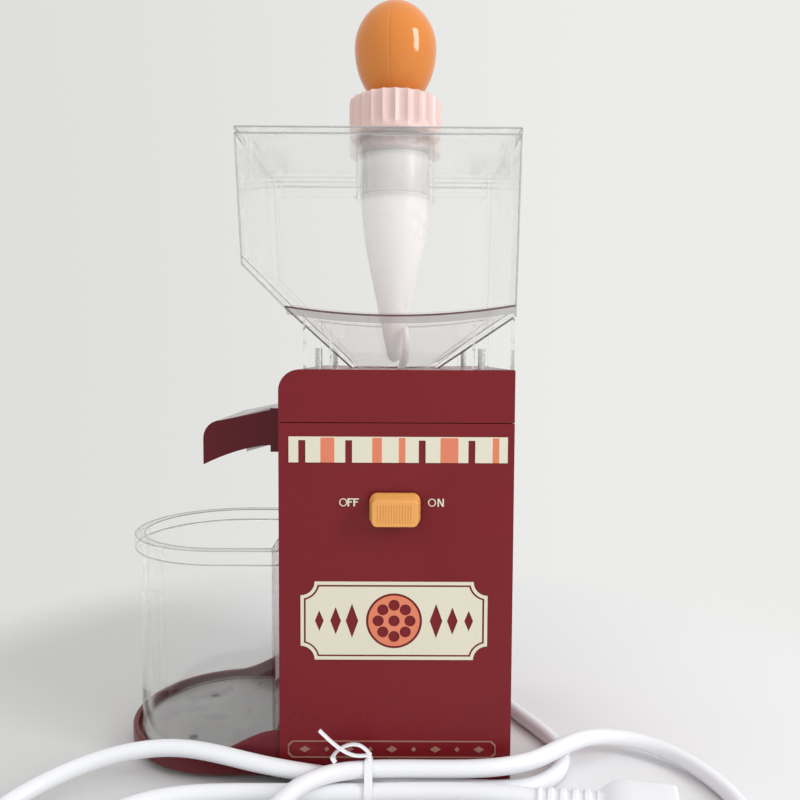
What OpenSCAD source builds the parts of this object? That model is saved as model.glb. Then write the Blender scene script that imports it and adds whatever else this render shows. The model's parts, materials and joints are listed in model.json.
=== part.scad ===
// Electric nut butter grinder.
// A motor housing stands on rubber feet. A clear hopper with a lid and a pusher sits on its
// removable top cover, a geared motor turns a conical mill under the hopper, and the paste
// leaves through a chute under a hood, into a clear jar that stands in a tray at the side.
// The row's origin is under the middle of the grinder, on the surface that it stands on.
// All modules are drawn from the middle of the housing's front face, and place() moves them.

/* [Housing] */
// Width of the housing
body_w = 100; // [96:1:116]
// Depth of the housing, rear cover included
body_d = 106; // [104:1:120]
// Height of the housing, from its underside to the seam under the top cover
housing_h = 154.9; // [150:0.1:175]
// Wall of the housing, rear cover and top cover
wall = 2.5; // [2:0.1:3]
// Gap under the housing, which is the standing height of the feet
stand_h = 2.5; // [2:0.1:5]
// Thickness of the floor plates
floor_t = 3; // [2.5:0.1:4]
// Radius of a rubber foot
foot_r = 6; // [5:0.1:7]
// Depth of the deck's top face under the seam
deck_drop = 11.9; // [11.5:0.1:14]
// Thickness of the deck that carries the mill
deck_t = 4; // [3:0.1:5]

/* [Top cover] */
// Height of the top cover
cover_h = 22.3; // [20:0.1:30]
// Radius of the cover's rounded edge on the chute side
cover_round = 9; // [4:0.5:12]
// Seam between the housing and the top cover
seam_gap = 0.3; // [0.2:0.1:0.5]

/* [Hopper] */
// Height of the hopper above the top cover
hopper_h = 97.5; // [90:0.5:110]
// Wall of the hopper and the jar
clear_t = 2.4; // [2:0.1:3]
// Reach of the hopper's top edge to the left of the housing's middle
hopper_left = 67.6; // [64:0.1:74]
// Reach of the hopper's top edge to the right of the housing's middle
hopper_right = 51.4; // [50:0.1:58]
// Inward lean of the left wall and of the right wall, from the rim to where they end
hopper_lean = 2.6; // [0:0.1:4]
// Slope of the left chute panel, in degrees
left_slope = 45; // [42:1:48]
// Slope of the right chute panel, in degrees
right_slope = 36; // [34:1:40]
// Slope of the front and rear chute panels, in degrees
front_slope = 33; // [30:1:36]
// Plan radius of the curved front and rear chute panels
panel_bow = 350; // [250:1:400]
// Inner radius of the throat over the mill
throat_r = 15.5; // [15:0.1:16.5]
// Front to back depth of a hopper leg
leg_d = 12; // [10:0.1:16]
// Radius of the hopper screws' threads
hopper_screw_r = 1.5; // [1:0.1:1.8]

/* [Lid] */
// Thickness of the lid plate
lid_t = 2.6; // [2:0.1:4]
// Overhang of the lid past the hopper
lid_overhang = 0.5; // [0:0.1:1.5]
// Depth of the lid's front tabs inside the hopper
lid_tab = 18; // [10:0.5:22]
// Depth of the lid's rear tabs inside the hopper
lid_rear_tab = 8; // [6:0.5:16]
// Length of a lid tab along the hopper's wall
lid_tab_w = 17; // [12:0.5:22]
// Wall of the collar that guides the pusher
collar_t = 2; // [1.6:0.1:2.6]
// Height of the collar above the lid
collar_up = 8.8; // [6:0.1:22]
// Depth of the collar below the lid
collar_down = 18; // [10:0.5:22]

/* [Pusher] */
// Radius of the pusher tube in the collar
pusher_r = 16; // [14:0.1:17]
// Clearance between the pusher and its collar
pusher_fit = 0.9; // [0.3:0.1:1.5]
// Length of the pusher's tapered nose
nose_l = 75; // [60:1:75]
// Radius of the fluted ring
ring_r = 22; // [20:0.1:25]
// Height of the fluted ring
ring_h = 18; // [14:0.5:22]
// Number of flutes round the ring
flutes = 24; // [16:1:32]
// Depth of a flute
flute_depth = 1.2; // [0.6:0.1:1.6]
// Greatest radius of the egg-shaped knob
egg_r = 19.6; // [16:0.1:22]
// Height of the egg-shaped knob above the ring
egg_h = 46.4; // [40:0.1:52]
// Radius of the knob's neck on the ring
neck_r = 9; // [8:0.1:14]

/* [Jar and tray] */
// Radius of the jar's rounded end, over its rim bead
jar_r = 47; // [42:0.1:48]
// Height of the jar
jar_h = 94.8; // [80:0.1:98]
// Length of the rim's straight sides, from its rounded end towards the housing
jar_straight = 27.9; // [24:0.1:34]
// Height of the jar's rim bead
bead_h = 6.5; // [4:0.1:9]
// How far the rim bead stands out of the jar's wall
bead_out = 2.4; // [0.8:0.1:3]
// Thickness of the jar's floor
jar_floor = 3.2; // [2:0.1:4]
// Radius of the jar's corners beside the housing
jar_corner = 1.6; // [1:0.1:6]
// Clearance round the jar in the tray
tray_fit = 1.8; // [1.5:0.1:3]
// Wall of the tray
tray_t = 2.6; // [2:0.1:3]
// Wall of the tray against the housing, which its screws go into
tray_side_t = 1.8; // [1.5:0.1:3]
// Height of the tray's rim above the underside
tray_rim = 8; // [7:0.1:12]
// Height of the tray's rim where it meets the housing
tray_rise = 20.5; // [14:0.1:24]
// Length of the tray's rising stretch
tray_ramp = 38; // [16:1:40]
// Thickness of the pad under the jar
pad_t = 1.2; // [0.8:0.1:2]

/* [Chute hood] */
// Reach of the hood from the housing
hood_reach = 36.3; // [32:0.1:42]
// Height of the hood's root over its lower edge
hood_root = 19.6; // [19:0.1:22]
// Depth of the hood's block against the housing
hood_block = 6.3; // [4:0.1:8]
// Wall of the hood
hood_t = 2; // [1.6:0.1:2.6]
// Fall of the hood's top face, in degrees
hood_fall = 12; // [4:0.1:14]
// Radius of the hood's rounded outer edge
hood_round = 8; // [3:0.1:9]
// Reach of the trough out of the housing
trough_reach = 17.5; // [12:0.5:22]

/* [Mill] */
// Distance of the mill's axis behind the housing's middle
mill_back = 1; // [0:0.5:6]
// Sideways place of the mill's axis
mill_x = -1.3; // [-3:0.1:1]
// Outer radius of the mill's cup
cup_r = 33; // [31:0.1:35]
// Wall and floor of the mill's cup
cup_t = 2.5; // [2:0.1:3]
// Radius at the wide end of the rotor cone
rotor_r = 23; // [21:0.1:24]
// Radius at the narrow end of the rotor cone
rotor_top_r = 12; // [10:0.1:13]
// Height of the rotor cone
rotor_h = 15; // [12:0.1:16]
// Gap between the rotor's teeth and the fixed ring
grind_gap = 0.6; // [0.3:0.1:1]
// Number of grooves in the rotor
rotor_teeth = 12; // [8:1:16]
// Number of grooves in the fixed ring
ring_teeth = 16; // [10:1:20]
// Height of the agitator's arm above its hub
arm_h = 20; // [14:0.5:22]
// Greatest distance of the arm from the mill's axis
arm_reach = 11.8; // [10:0.1:12]
// Turn of the arm about the mill's axis, in degrees
arm_turn = -54; // [-90:1:0]

/* [Gear train] */
// Module of the first gear pair
module_1 = 0.8; // [0.75:0.01:0.82]
// Module of the second gear pair
module_2 = 0.9; // [0.88:0.01:0.94]
// Teeth of the motor pinion
pinion_teeth = 12; // [12:1:13]
// Teeth of the large compound wheel
wheel_teeth = 50; // [48:1:51]
// Teeth of the small compound pinion
small_teeth = 14; // [14:1:15]
// Teeth of the output wheel
output_teeth = 46; // [44:1:47]
// Width of the first gear pair
gear_w1 = 6; // [4:0.5:7]
// Width of the second gear pair
gear_w2 = 8; // [6:0.5:9]
// Thinning of each tooth, for running clearance
backlash = 0.12; // [0.08:0.01:0.2]
// Bearing angle of the compound axle from the output shaft, in degrees
axle_turn = 60; // [55:1:65]
// Bearing angle of the motor from the compound axle, in degrees
motor_turn = -65; // [-68:1:-60]
// Radius of the output shaft
shaft_r = 4; // [3.5:0.1:4.2]
// Radius of the compound axle
axle_r = 2.5; // [2:0.1:3]
// Thickness of the gearbox plate
plate_t = 3; // [2:0.1:4]
// Space between the gearbox plate and the deck
gearbox_h = 41; // [40:0.5:44]

/* [Motor] */
// Radius of the motor can
can_r = 22.6; // [20:0.1:23]
// Length of the motor can
can_l = 57; // [50:0.5:60]
// Radius of the motor shaft
motor_shaft_r = 2; // [1.5:0.1:2.5]
// Radius of the armature core
core_r = 15.5; // [13:0.1:16]
// Number of armature slots
core_slots = 8; // [5:1:12]
// Radius of the cooling fan
fan_r = 19; // [14:0.5:21]
// Number of fan blades
fan_blades = 9; // [5:1:12]

/* [Switch] */
// Width of the switch knob
switch_w = 22.3; // [20:0.1:24]
// Height of the switch knob
switch_h = 15.2; // [13:0.1:16]
// How far the switch knob stands out
switch_out = 8; // [6:0.1:9]
// Travel of the switch knob
switch_travel = 4; // [3:0.1:4.5]
// Height of the switch knob's middle above the underside
switch_z = 119; // [112:0.5:121]

/* [Front trim] */
// Thickness of the printed plates
trim_t = 0.4; // [0.2:0.1:0.6]
// Height of the stripe band
band_h = 11; // [8:0.1:14]
// Width of the stripe band
band_w = 92.7; // [80:0.1:94]
// Width of the ornamental plaque
plaque_w = 80; // [70:1:90]
// Height of the ornamental plaque
plaque_h = 34; // [28:1:44]
// Height of the plaque's middle above the underside
plaque_z = 70; // [60:1:78]
// Width of the bottom strip
strip_w = 89.9; // [80:0.1:92]
// Height of the bottom strip
strip_h = 7.6; // [6:0.1:9]

/* [Mains cord] */
// Diameter of the mains cord
cord_d = 7.2; // [7.2:0.1:7.2]

/* [Hidden] */
$fn = 64;
gap = 0.3;              // clearance between pieces that move apart
fit = 0.05;             // radial clearance of a shaft in its hole
slack = 0.2;            // clearance of fixed pieces that are slid into each other
tap_r = 1.25;           // thread radius of the small screws
head_r = 2.6;           // head radius of the small screws
head_h = 1.8;           // head height of the small screws
driver_r = 1.1;         // radius of the screw heads' driver recess
head_sink = 0.1;        // how far a sunk screw head lies below its surface
boss_r = 4;             // radius of a screw boss
boss_h = 12;            // height of a screw boss
short_screw = 9;        // thread length of the short screws
deck_bite = 8;          // thread length of the deck's screws below the deck

seam_z = stand_h + housing_h;
cover_z = seam_z + seam_gap;
top_z = cover_z + cover_h;
deck_z = seam_z - deck_drop;
deck_low = deck_z - deck_t;
plate_top = deck_low - gearbox_h;
plate_low = plate_top - plate_t;
side = body_w/2;
inside = side - wall;
rear_y = body_d - wall;
mill_y = body_d/2 + mill_back;
roof_z = top_z - wall;

// hopper
rim_z = top_z + hopper_h;
throat_out = throat_r + clear_t;
hopper_y0 = 1;
hopper_y1 = body_d - 1;
left_foot = throat_out + 1.8;
right_foot = throat_out + 2.4;
knee_z = top_z + (hopper_left - hopper_lean - left_foot + mill_x)*tan(left_slope);
right_knee_x = hopper_right - hopper_lean*0.6;
right_knee_z = top_z + (right_knee_x - mill_x - right_foot)*tan(right_slope);
panel_z = top_z + (mill_y - throat_out - hopper_y0)*tan(front_slope);
leg_z = max(panel_z, right_knee_z) + 2;
leg_left = [-39.5, -28.3];
leg_right = [33, right_knee_x - 0.2];
hopper_screw_xy = [[-33.5, hopper_y0 + leg_d/2], [36.3, hopper_y0 + leg_d/2],
    [-33.5, hopper_y1 - leg_d/2], [36.3, hopper_y1 - leg_d/2]];
hopper_screw_l = 9;

// lid and pusher
lid_z = rim_z + gap;
lid_top = lid_z + lid_t;
collar_r = pusher_r + pusher_fit;
ring_z = lid_top + collar_up + gap;
ring_top = ring_z + ring_h;
nose_z = lid_z - collar_down - 2;
pusher_bore = pusher_r - 4.5;
spigot_l = 6;
nose_tip_r = 4;
egg_z = ring_top;

// jar and tray
jar_room = 0.7;         // clearance of the jar's flat side from the tray, and of its rim from the housing
tray_back = 1.2;        // how far the tray's front lies behind the housing's
jar_wall_r = jar_r - bead_out;
jar_z = stand_h + floor_t + pad_t;
rim_end = -side - jar_room;
jar_end = rim_end - tray_side_t;
jar_x = rim_end - jar_straight;
tray_in = jar_wall_r + tray_fit;
tray_r = tray_in + tray_t;
jar_y = tray_r + tray_back;
tray_left = jar_x - tray_r;
pad_r = jar_wall_r - 1;

// chute
root_y = [mill_y - cup_r - 0.6, mill_y + cup_r + 0.6];
root_w = root_y[1] - root_y[0];
hood_y = [root_y[0] - hood_t, root_y[1] + hood_t];
hood_w = hood_y[1] - hood_y[0];
hood_low = deck_z - 2.8;
hood_top = hood_low + hood_root;
notch_z = hood_top - hood_t - 0.6;
trough_kink = -side - 7.4;
trough_end = -side - trough_reach;
trough_drop = 3.1;

// mill
cup_floor = deck_z + cup_t;
cup_top = seam_z - 0.2;
sweep_z = cup_floor + 0.7;
sweep_t = 1.8;
rotor_z = sweep_z + sweep_t + 2;
ring_low = rotor_z + 1.4;
rotor_top = rotor_z + rotor_h;
fixed_top = rotor_top + 1.9;
fixed_r = cup_r - cup_t - 3.4;
throat_low = fixed_top + 0.4;
hub_r = 7;
hub_h = 10.5;

// gear train, its places and its ratios
pair_1 = module_1*(pinion_teeth + wheel_teeth)/2;
pair_2 = module_2*(small_teeth + output_teeth)/2;
axle_x = mill_x + pair_2*cos(axle_turn);
axle_y = mill_y + pair_2*sin(axle_turn);
motor_x = axle_x + pair_1*cos(motor_turn);
motor_y = axle_y + pair_1*sin(motor_turn);
bearing_r = 11;
bearing_h = 7;
gear_z1 = plate_top + bearing_h + 2;
gear_z2 = gear_z1 + gear_w1 + 3;
// lugs under the deck, and the gearbox posts in front of and behind the mill's cup
screw_room = 1.4;
deck_lug = [6, 10, deck_bite + 4];
post_x = inside - deck_lug[0] - boss_r + 0.2;
post_y = [mill_y - cup_r - head_r - screw_room, mill_y + cup_r + head_r + screw_room + 3];
post_xy = [for (y = post_y, s = [-1, 1]) [s*post_x, y]];

// motor
can_low = plate_low - can_l;
core_low = can_low + 16;
core_h = can_l - 29;
coil_h = 4;
com_r = 5.5;
com_z = can_low + 3.5;
com_h = 8;
brush = [9, 4, 6];
fan_z = can_low - 17;
fan_h = 9;

// switch and interlock
sw_x = -0.5;
sw_z = stand_h + switch_z;
neck_w = 12;
neck_h = 6;
pin_x = inside - 6.5;
pin_y = 30;
pin_r = 2;
pin_travel = 3.5;
pin_low = deck_low - pin_travel - 2;
post_low = seam_z - 1;

// screw places
deck_screw_x = inside - head_r - 0.4;
deck_screw_xy = [[-deck_screw_x, wall + 7.5], [deck_screw_x, pin_y + 18],
    [-deck_screw_x, post_y[1] - 1], [deck_screw_x, mill_y + 28]];
base_screw_x = inside - boss_r - 0.5;
base_screw_y = [8, rear_y - 16];
base_screw_xy = [for (y = base_screw_y, s = [-1, 1]) [s*base_screw_x, y]];
rear_screw_xz = [for (z = [stand_h + 17, plate_low - 10], s = [-1, 1]) [s*base_screw_x, z]];
tray_screw_yz = [for (y = [base_screw_y[0] + 12, base_screw_y[1] - 8]) [y, stand_h + 7]];
foot_xy = [[-side + 14, 18], [side - 14, 18], [-side + 14, rear_y - 8], [side - 14, rear_y - 8],
    [jar_x - 16, jar_y - 22], [jar_x - 16, jar_y + 22]];

// cord exit in the rear cover, and the control points of the cord's route
exit_x = -24;
exit_z = 19;
cord_route = [[-24, 134, 19], [-24, 158, 19], [-12, 197, 8], [38, 201, 4], [61, 158, 3.6], [54, 112, 3.6],
    [54, 78, 3.6], [66, 52, 3.6], [83, 18, 3.6], [60, -14, 3.6], [22, -6.8, 3.6], [-22, -4.8, 5.2],
    [-60, -7, 12.6], [-92, 1.4, 17.6], [-128, 1, 12.5], [-160, -22, 4.4], [-164, -60, 3.6], [-134, -100, 3.6],
    [-76, -116, 3.6], [-36, -72, 3.6], [-2, -36, 3.6], [34, -46, 3.6], [70, -80, 3.6], [122, -84, 3.6],
    [148, -32, 3.6], [130, 26, 4.6], [87, 29, 10.4], [61, -11, 14.4], [24, -9.6, 11.8], [-12, -8.4, 12.4],
    [-41, -16, 12], [-54, -50, 6], [-68, -83, 3.6], [-104, -87, 3.6], [-130, -49, 3.6], [-104, -11, 3.6],
    [-50, -13.8, 3.8], [4, -13.4, 4.8], [38, -18, 7.5], [58, -23, 7.5]];
tie_x = -11;

// middle of the grinder, without its cord
reach_left = -tray_left;
reach_right = hopper_right + lid_overhang;
reach_front = switch_out + trim_t;
mid_x = (reach_right - reach_left)/2;
mid_y = (body_d - reach_front)/2;

housing_red = [0.36, 0.035, 0.06];
cover_red = [0.40, 0.03, 0.06];
tray_red = [0.28, 0.05, 0.07];
cream = [0.9, 0.87, 0.74];
coral = [0.86, 0.46, 0.3];
clear = [0.85, 0.88, 0.88, 0.35];
steel = [0.7, 0.7, 0.72];
white_cord = [0.93, 0.93, 0.94];

module place() translate([-mid_x, -mid_y, 0]) children();
module at(points) for (p = points) translate([p[0], p[1], 0]) children();

// A screw standing on z = 0 with its head down and its thread up.
module screw(l, r = tap_r) difference() {
    union() {
        cylinder(h = head_h, r = head_r);
        cylinder(h = head_h + l, r = r);
    }
    translate([0, 0, -1]) cylinder(h = 1 + head_h*0.6, r = driver_r);
}

// A plan with one half-round end on the left, cut off square on the right.
module round_left(x, y, r, right) difference() {
    union() {
        translate([x, y]) circle(r = r, $fn = 128);
        translate([x, y - r]) square([right - x, 2*r]);
    }
    translate([right, y - r - 1]) square([2*r, 2*r + 2]);
}
// The same with two small rounded corners on the right.
module jar_outline(x, y, r, right, corner) {
    round_left(x, y, r, right - corner);
    translate([right - corner - 1, y - r + corner]) square([corner + 1, 2*r - 2*corner]);
    for (s = [-1, 1]) translate([right - corner, y + s*(r - corner)]) circle(r = corner);
}

// An involute gear outline: n teeth of module m, the first tooth pointing along +X.
press = 25;
function inv(a) = tan(a)*180/PI - a;
function flank(n, m, r) = 90/n - backlash/(n*m)*180/PI + inv(press) - inv(acos(min(1, n*m/2*cos(press)/r)));
function tooth(n, m) = let (base = n*m/2*cos(press), low = n*m/2 - 1.2*m, high = n*m/2 + 0.9*m,
    start = max(base, low), rise = high - start,
    radii = [low, start, start + rise*0.35, start + rise*0.7, high])
    concat([for (r = radii) [r, -flank(n, m, max(r, base))]],
        [for (i = [len(radii) - 1:-1:0]) [radii[i], flank(n, m, max(radii[i], base))]]);
module gear(n, m, w, turn) rotate([0, 0, turn]) linear_extrude(w)
    polygon([for (i = [0:n - 1]) for (p = tooth(n, m))
        [p[0]*cos(p[1] + i*360/n), p[0]*sin(p[1] + i*360/n)]]);

// ------------------------------------------------------------------ base

module rubber_feet() color([0.12, 0.12, 0.13]) place() at(foot_xy) {
    cylinder(h = stand_h, r1 = foot_r - 0.8, r2 = foot_r);
    cylinder(h = stand_h + floor_t + 1.2, r = 2);
}

module base_plate() color(housing_red) place() difference() {
    translate([-inside + slack, wall + slack, stand_h])
        cube([2*inside - 2*slack, rear_y - wall - 2*slack, floor_t]);
    at([for (i = [0:3]) foot_xy[i]]) translate([0, 0, stand_h - 1]) cylinder(h = floor_t + 2, r = 2 + fit);
    at(base_screw_xy) {
        translate([0, 0, stand_h - 1]) cylinder(h = floor_t + 2, r = tap_r + slack);
        translate([0, 0, stand_h - 1]) cylinder(h = 1 + head_h + head_sink, r = head_r + slack);
    }
    for (i = [-4:4]) translate([motor_x + i*4.2 - 1.1, motor_y - 16, stand_h - 1])
        cube([2.2, 32, floor_t + 2]);
}

module base_screws() color(steel) place() at(base_screw_xy)
    translate([0, 0, stand_h + head_sink]) screw(short_screw);

module housing() color(housing_red) place() difference() {
    union() {
        difference() {
            translate([-side, 0, stand_h]) cube([body_w, rear_y, housing_h]);
            translate([-inside, wall, stand_h - 1]) cube([2*inside, body_d, housing_h + 2]);
        }
        for (p = base_screw_xy, s = [sign(p[0])]) {
            translate([p[0], p[1], stand_h + floor_t]) cylinder(h = boss_h, r = boss_r);
            translate([s > 0 ? p[0] : -inside - 0.5, p[1] - boss_r, stand_h + floor_t])
                cube([inside + 0.5 - abs(p[0]), 2*boss_r, boss_h]);
        }
        for (p = rear_screw_xz, s = [sign(p[0])])
            translate([s > 0 ? p[0] - boss_r : -inside - 0.5, rear_y - boss_h, p[1] - boss_r])
                cube([inside + 0.5 - abs(p[0]) + boss_r, boss_h, 2*boss_r]);
        for (p = deck_screw_xy, s = [sign(p[0])])
            translate([s > 0 ? inside - deck_lug[0] : -inside - 0.5, p[1] - deck_lug[1]/2,
                deck_low - deck_lug[2]]) cube([deck_lug[0] + 0.5, deck_lug[1], deck_lug[2]]);
    }
    at(base_screw_xy) translate([0, 0, stand_h + floor_t - 1]) cylinder(h = boss_h - 0.5, r = tap_r + fit);
    for (p = rear_screw_xz) translate([p[0], rear_y + 1, p[1]])
        rotate([90, 0, 0]) cylinder(h = boss_h - 1, r = tap_r + fit);
    at(deck_screw_xy) translate([0, 0, deck_low - deck_bite - 2])
        cylinder(h = deck_bite + 3, r = tap_r + fit);
    // way out for the trough, open at the seam
    translate([-side - 1, root_y[0], deck_z - 0.4]) cube([wall + 2, root_w, deck_drop + 2]);
    // slot for the switch knob's neck
    translate([sw_x - neck_w/2 - switch_travel - 0.5, -1, sw_z - neck_h/2 - 0.4])
        cube([neck_w + switch_travel + 1, wall + 2, neck_h + 0.8]);
    // screw holes of the tray
    for (p = tray_screw_yz) translate([-side - 1, p[0], p[1]])
        rotate([0, 90, 0]) cylinder(h = wall + 2, r = tap_r + slack);
}

vent_w = 30;
module rear_cover() color(housing_red) place() difference() {
    union() {
        translate([-side, rear_y, stand_h]) cube([body_w, wall, housing_h]);
        // locating rib along the top, inside the housing
        translate([-inside + slack, rear_y - 2, seam_z - 8]) cube([2*inside - 2*slack, 2.5, 2]);
    }
    for (p = rear_screw_xz) translate([p[0], rear_y - 1, p[1]]) rotate([-90, 0, 0]) {
        cylinder(h = wall + 2, r = tap_r + slack);
        translate([0, 0, 1 + wall - head_h - head_sink])
            cylinder(h = head_h + head_sink + 1, r = head_r + slack);
    }
    for (s = [-1, 1], i = [0:8]) translate([s*20 - vent_w/2, rear_y - 1, stand_h + 38 + i*5])
        cube([vent_w, wall + 2, 2.2]);
    translate([exit_x, rear_y - 3, exit_z]) rotate([-90, 0, 0]) cylinder(h = wall + 4, r = gland_r);
}

module rear_screws() color(steel) place() for (p = rear_screw_xz)
    translate([p[0], body_d - head_sink, p[1]]) rotate([90, 0, 0]) screw(short_screw);

// ------------------------------------------------------------------ jar and tray

// The tray's outer block, undercut round its lower edge.
tray_cut = 1.2;
module tray_block(r, low) {
    translate([jar_x, jar_y, stand_h]) {
        cylinder(h = tray_cut, r1 = r - low, r2 = r, $fn = 128);
        translate([0, 0, tray_cut]) cylinder(h = tray_rise, r = r, $fn = 128);
    }
    translate([jar_x, jar_y, stand_h]) rotate([90, 0, 90]) linear_extrude(-side - jar_x)
        polygon([[-r + low, 0], [r - low, 0], [r, tray_cut], [r, tray_rise],
            [-r, tray_rise], [-r, tray_cut]]);
}
// The tray's side view: level, then rising to the housing along a cosine curve.
function ramp_x(t) = -side - tray_ramp*(1 - t);
function ramp_z(t) = stand_h + tray_rim + (tray_rise - tray_rim)*(1 - cos(180*t))/2;
module tray_side() along_y(jar_y - tray_r - 1, jar_y + tray_r + 1)
    polygon(concat([[-side, stand_h - 1], [tray_left - 1, stand_h - 1], [tray_left - 1, ramp_z(0)]],
        [for (i = [0:10]) [ramp_x(i/10), ramp_z(i/10)]]));

module jar_tray() color(tray_red) place() difference() {
    intersection() {
        tray_block(tray_r, tray_cut);
        tray_side();
    }
    translate([0, 0, stand_h + floor_t]) linear_extrude(tray_rise + 1)
        round_left(jar_x, jar_y, tray_in, -side - tray_side_t);
    at([for (i = [4:5]) foot_xy[i]]) translate([0, 0, stand_h - 1]) cylinder(h = floor_t + 2, r = 2 + fit);
    for (p = tray_screw_yz) translate([-side - tray_side_t - 1, p[0], p[1]])
        rotate([0, 90, 0]) cylinder(h = tray_side_t + 2, r = tap_r + fit);
}

module tray_screws() color(steel) place() for (p = tray_screw_yz)
    translate([-inside + head_h, p[0], p[1]]) rotate([0, -90, 0]) screw(wall + tray_side_t - 0.2);

module tray_pad() color([0.55, 0.56, 0.56]) place() difference() {
    translate([0, 0, stand_h + floor_t]) linear_extrude(pad_t)
        jar_outline(jar_x, jar_y, pad_r, jar_end - 1, jar_corner);
    at([for (i = [4:5]) foot_xy[i]]) translate([0, 0, stand_h]) cylinder(h = floor_t + 3, r = 2.4);
}

module jar() color(clear) place() difference() {
    union() {
        translate([0, 0, jar_z + gap]) linear_extrude(jar_h)
            jar_outline(jar_x, jar_y, jar_wall_r, jar_end, jar_corner);
        translate([0, 0, jar_z + gap + jar_h - bead_h]) linear_extrude(bead_h)
            jar_outline(jar_x, jar_y, jar_r, rim_end, jar_corner);
    }
    translate([0, 0, jar_z + gap + jar_floor]) linear_extrude(jar_h)
        jar_outline(jar_x, jar_y, jar_wall_r - clear_t, jar_end - clear_t, jar_corner);
}

// ------------------------------------------------------------------ front trim

module on_front() place() rotate([90, 0, 0]) linear_extrude(trim_t) children();
band_x = 0.75;
band_z = seam_z - 5.7 - band_h;
// places and widths of the coral bars and of the gaps that show the housing
coral_bars = [[-29.2, 5.9], [-8.2, 4.1], [2.4, 2.8], [22.4, 7.6], [42.1, 2.8]];
open_bars = [[-40, 3], [-20.2, 2.9], [10.9, 2.9], [31.9, 2.9]];

module stripe_band() color(cream) on_front() difference() {
    translate([band_x - band_w/2, band_z]) square([band_w, band_h]);
    for (b = coral_bars) translate([b[0] - b[1]/2, band_z - 1]) square([b[1], band_h + 1 - 0.4]);
    for (b = open_bars) translate([b[0] - b[1]/2, band_z - 1]) square([b[1], band_h + 1 - 1.5]);
}

module stripe_bars() color(coral) on_front() for (b = coral_bars)
    translate([b[0] - b[1]/2, band_z]) square([b[1], band_h - 0.4]);

// A plaque with hollowed corners and a raised centre field, in generic geometric ornament.
plaque_x = -0.7;
plaque_notch = 6;
module plaque_outline(inset) difference() {
    translate([plaque_x - plaque_w/2 + inset, -plaque_h/2 + inset])
        square([plaque_w - 2*inset, plaque_h - 2*inset]);
    for (sx = [-1, 1], sz = [-1, 1]) translate([plaque_x + sx*plaque_w/2, sz*plaque_h/2])
        circle(r = plaque_notch + inset);
}
rosette_r = 11;
petals = 8;
module diamond(w, h) polygon([[-w/2, 0], [0, -h/2], [w/2, 0], [0, h/2]]);
module front_plaque() color(cream) on_front() translate([0, stand_h + plaque_z]) difference() {
    plaque_outline(0);
    difference() {
        plaque_outline(1.4);
        plaque_outline(2.2);
    }
    translate([plaque_x, 0]) circle(r = rosette_r + 1);
    for (s = [-1, 1], i = [0:2]) translate([plaque_x + s*(18 + i*7), 0]) diamond(5.4 - i*0.8, 15 - i*3);
}

module plaque_rosette() color(coral) on_front() translate([plaque_x, stand_h + plaque_z]) difference() {
    circle(r = rosette_r);
    for (i = [0:petals - 1]) rotate(i*360/petals) translate([rosette_r*0.62, 0]) circle(r = 2.4);
    circle(r = 2.4);
}

strip_x = -1.4;
strip_z = 15.8;
strip_corner = 1.8;
module strip_outline(inset) polygon(
    [for (c = [[-1, -1], [1, -1], [1, 1], [-1, 1]], k = c[0]*c[1] > 0 ? [0, 1] : [1, 0])
        [c[0]*(strip_w/2 - inset - k*strip_corner), c[1]*(strip_h/2 - inset - (1 - k)*strip_corner)]]);
module bottom_strip() color([0.72, 0.52, 0.36]) on_front() translate([strip_x, strip_z]) {
    difference() {
        strip_outline(0);
        strip_outline(0.5);
    }
    for (i = [-4:4]) translate([i*9.4, 0]) diamond(i % 2 == 0 ? 4.6 : 2.2, i % 2 == 0 ? 2.8 : 2.2);
}

// Capital letters of OFF and ON in plain strokes, letter_h high.
letter_h = 3.4;
stroke = 0.75;
module letter_o() difference() {
    circle(r = letter_h/2, $fn = 32);
    scale([0.72, 0.8]) circle(r = letter_h/2, $fn = 32);
}
module letter_f() translate([-1.1, -letter_h/2]) {
    square([stroke, letter_h]);
    for (p = [[letter_h - stroke*0.7, 2.4], [letter_h*0.48, 1.9]])
        translate([0, p[0]]) square([p[1], stroke*0.7]);
}
letter_w = 2.7;
module letter_n() translate([-letter_w/2, -letter_h/2]) {
    w = letter_w;
    h = letter_h;
    stem = stroke*0.8;
    low = h*0.28;
    polygon([[0, 0], [0, h], [stroke, h], [w - stem, low], [w - stem, h], [w, h], [w, 0], [w - stroke, 0],
        [stem, h - low], [stem, 0]]);
}
off_x = -22.5;
on_x = 15.2;
letter_gap = 2.9;
module switch_legend() color(cream) on_front() translate([0, sw_z + 2.2]) {
    translate([off_x, 0]) letter_o();
    translate([off_x + letter_gap, 0]) letter_f();
    translate([off_x + letter_gap + 2.5, 0]) letter_f();
    translate([on_x, 0]) letter_o();
    translate([on_x + letter_gap + 0.8, 0]) letter_n();
}

// ------------------------------------------------------------------ switch

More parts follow.
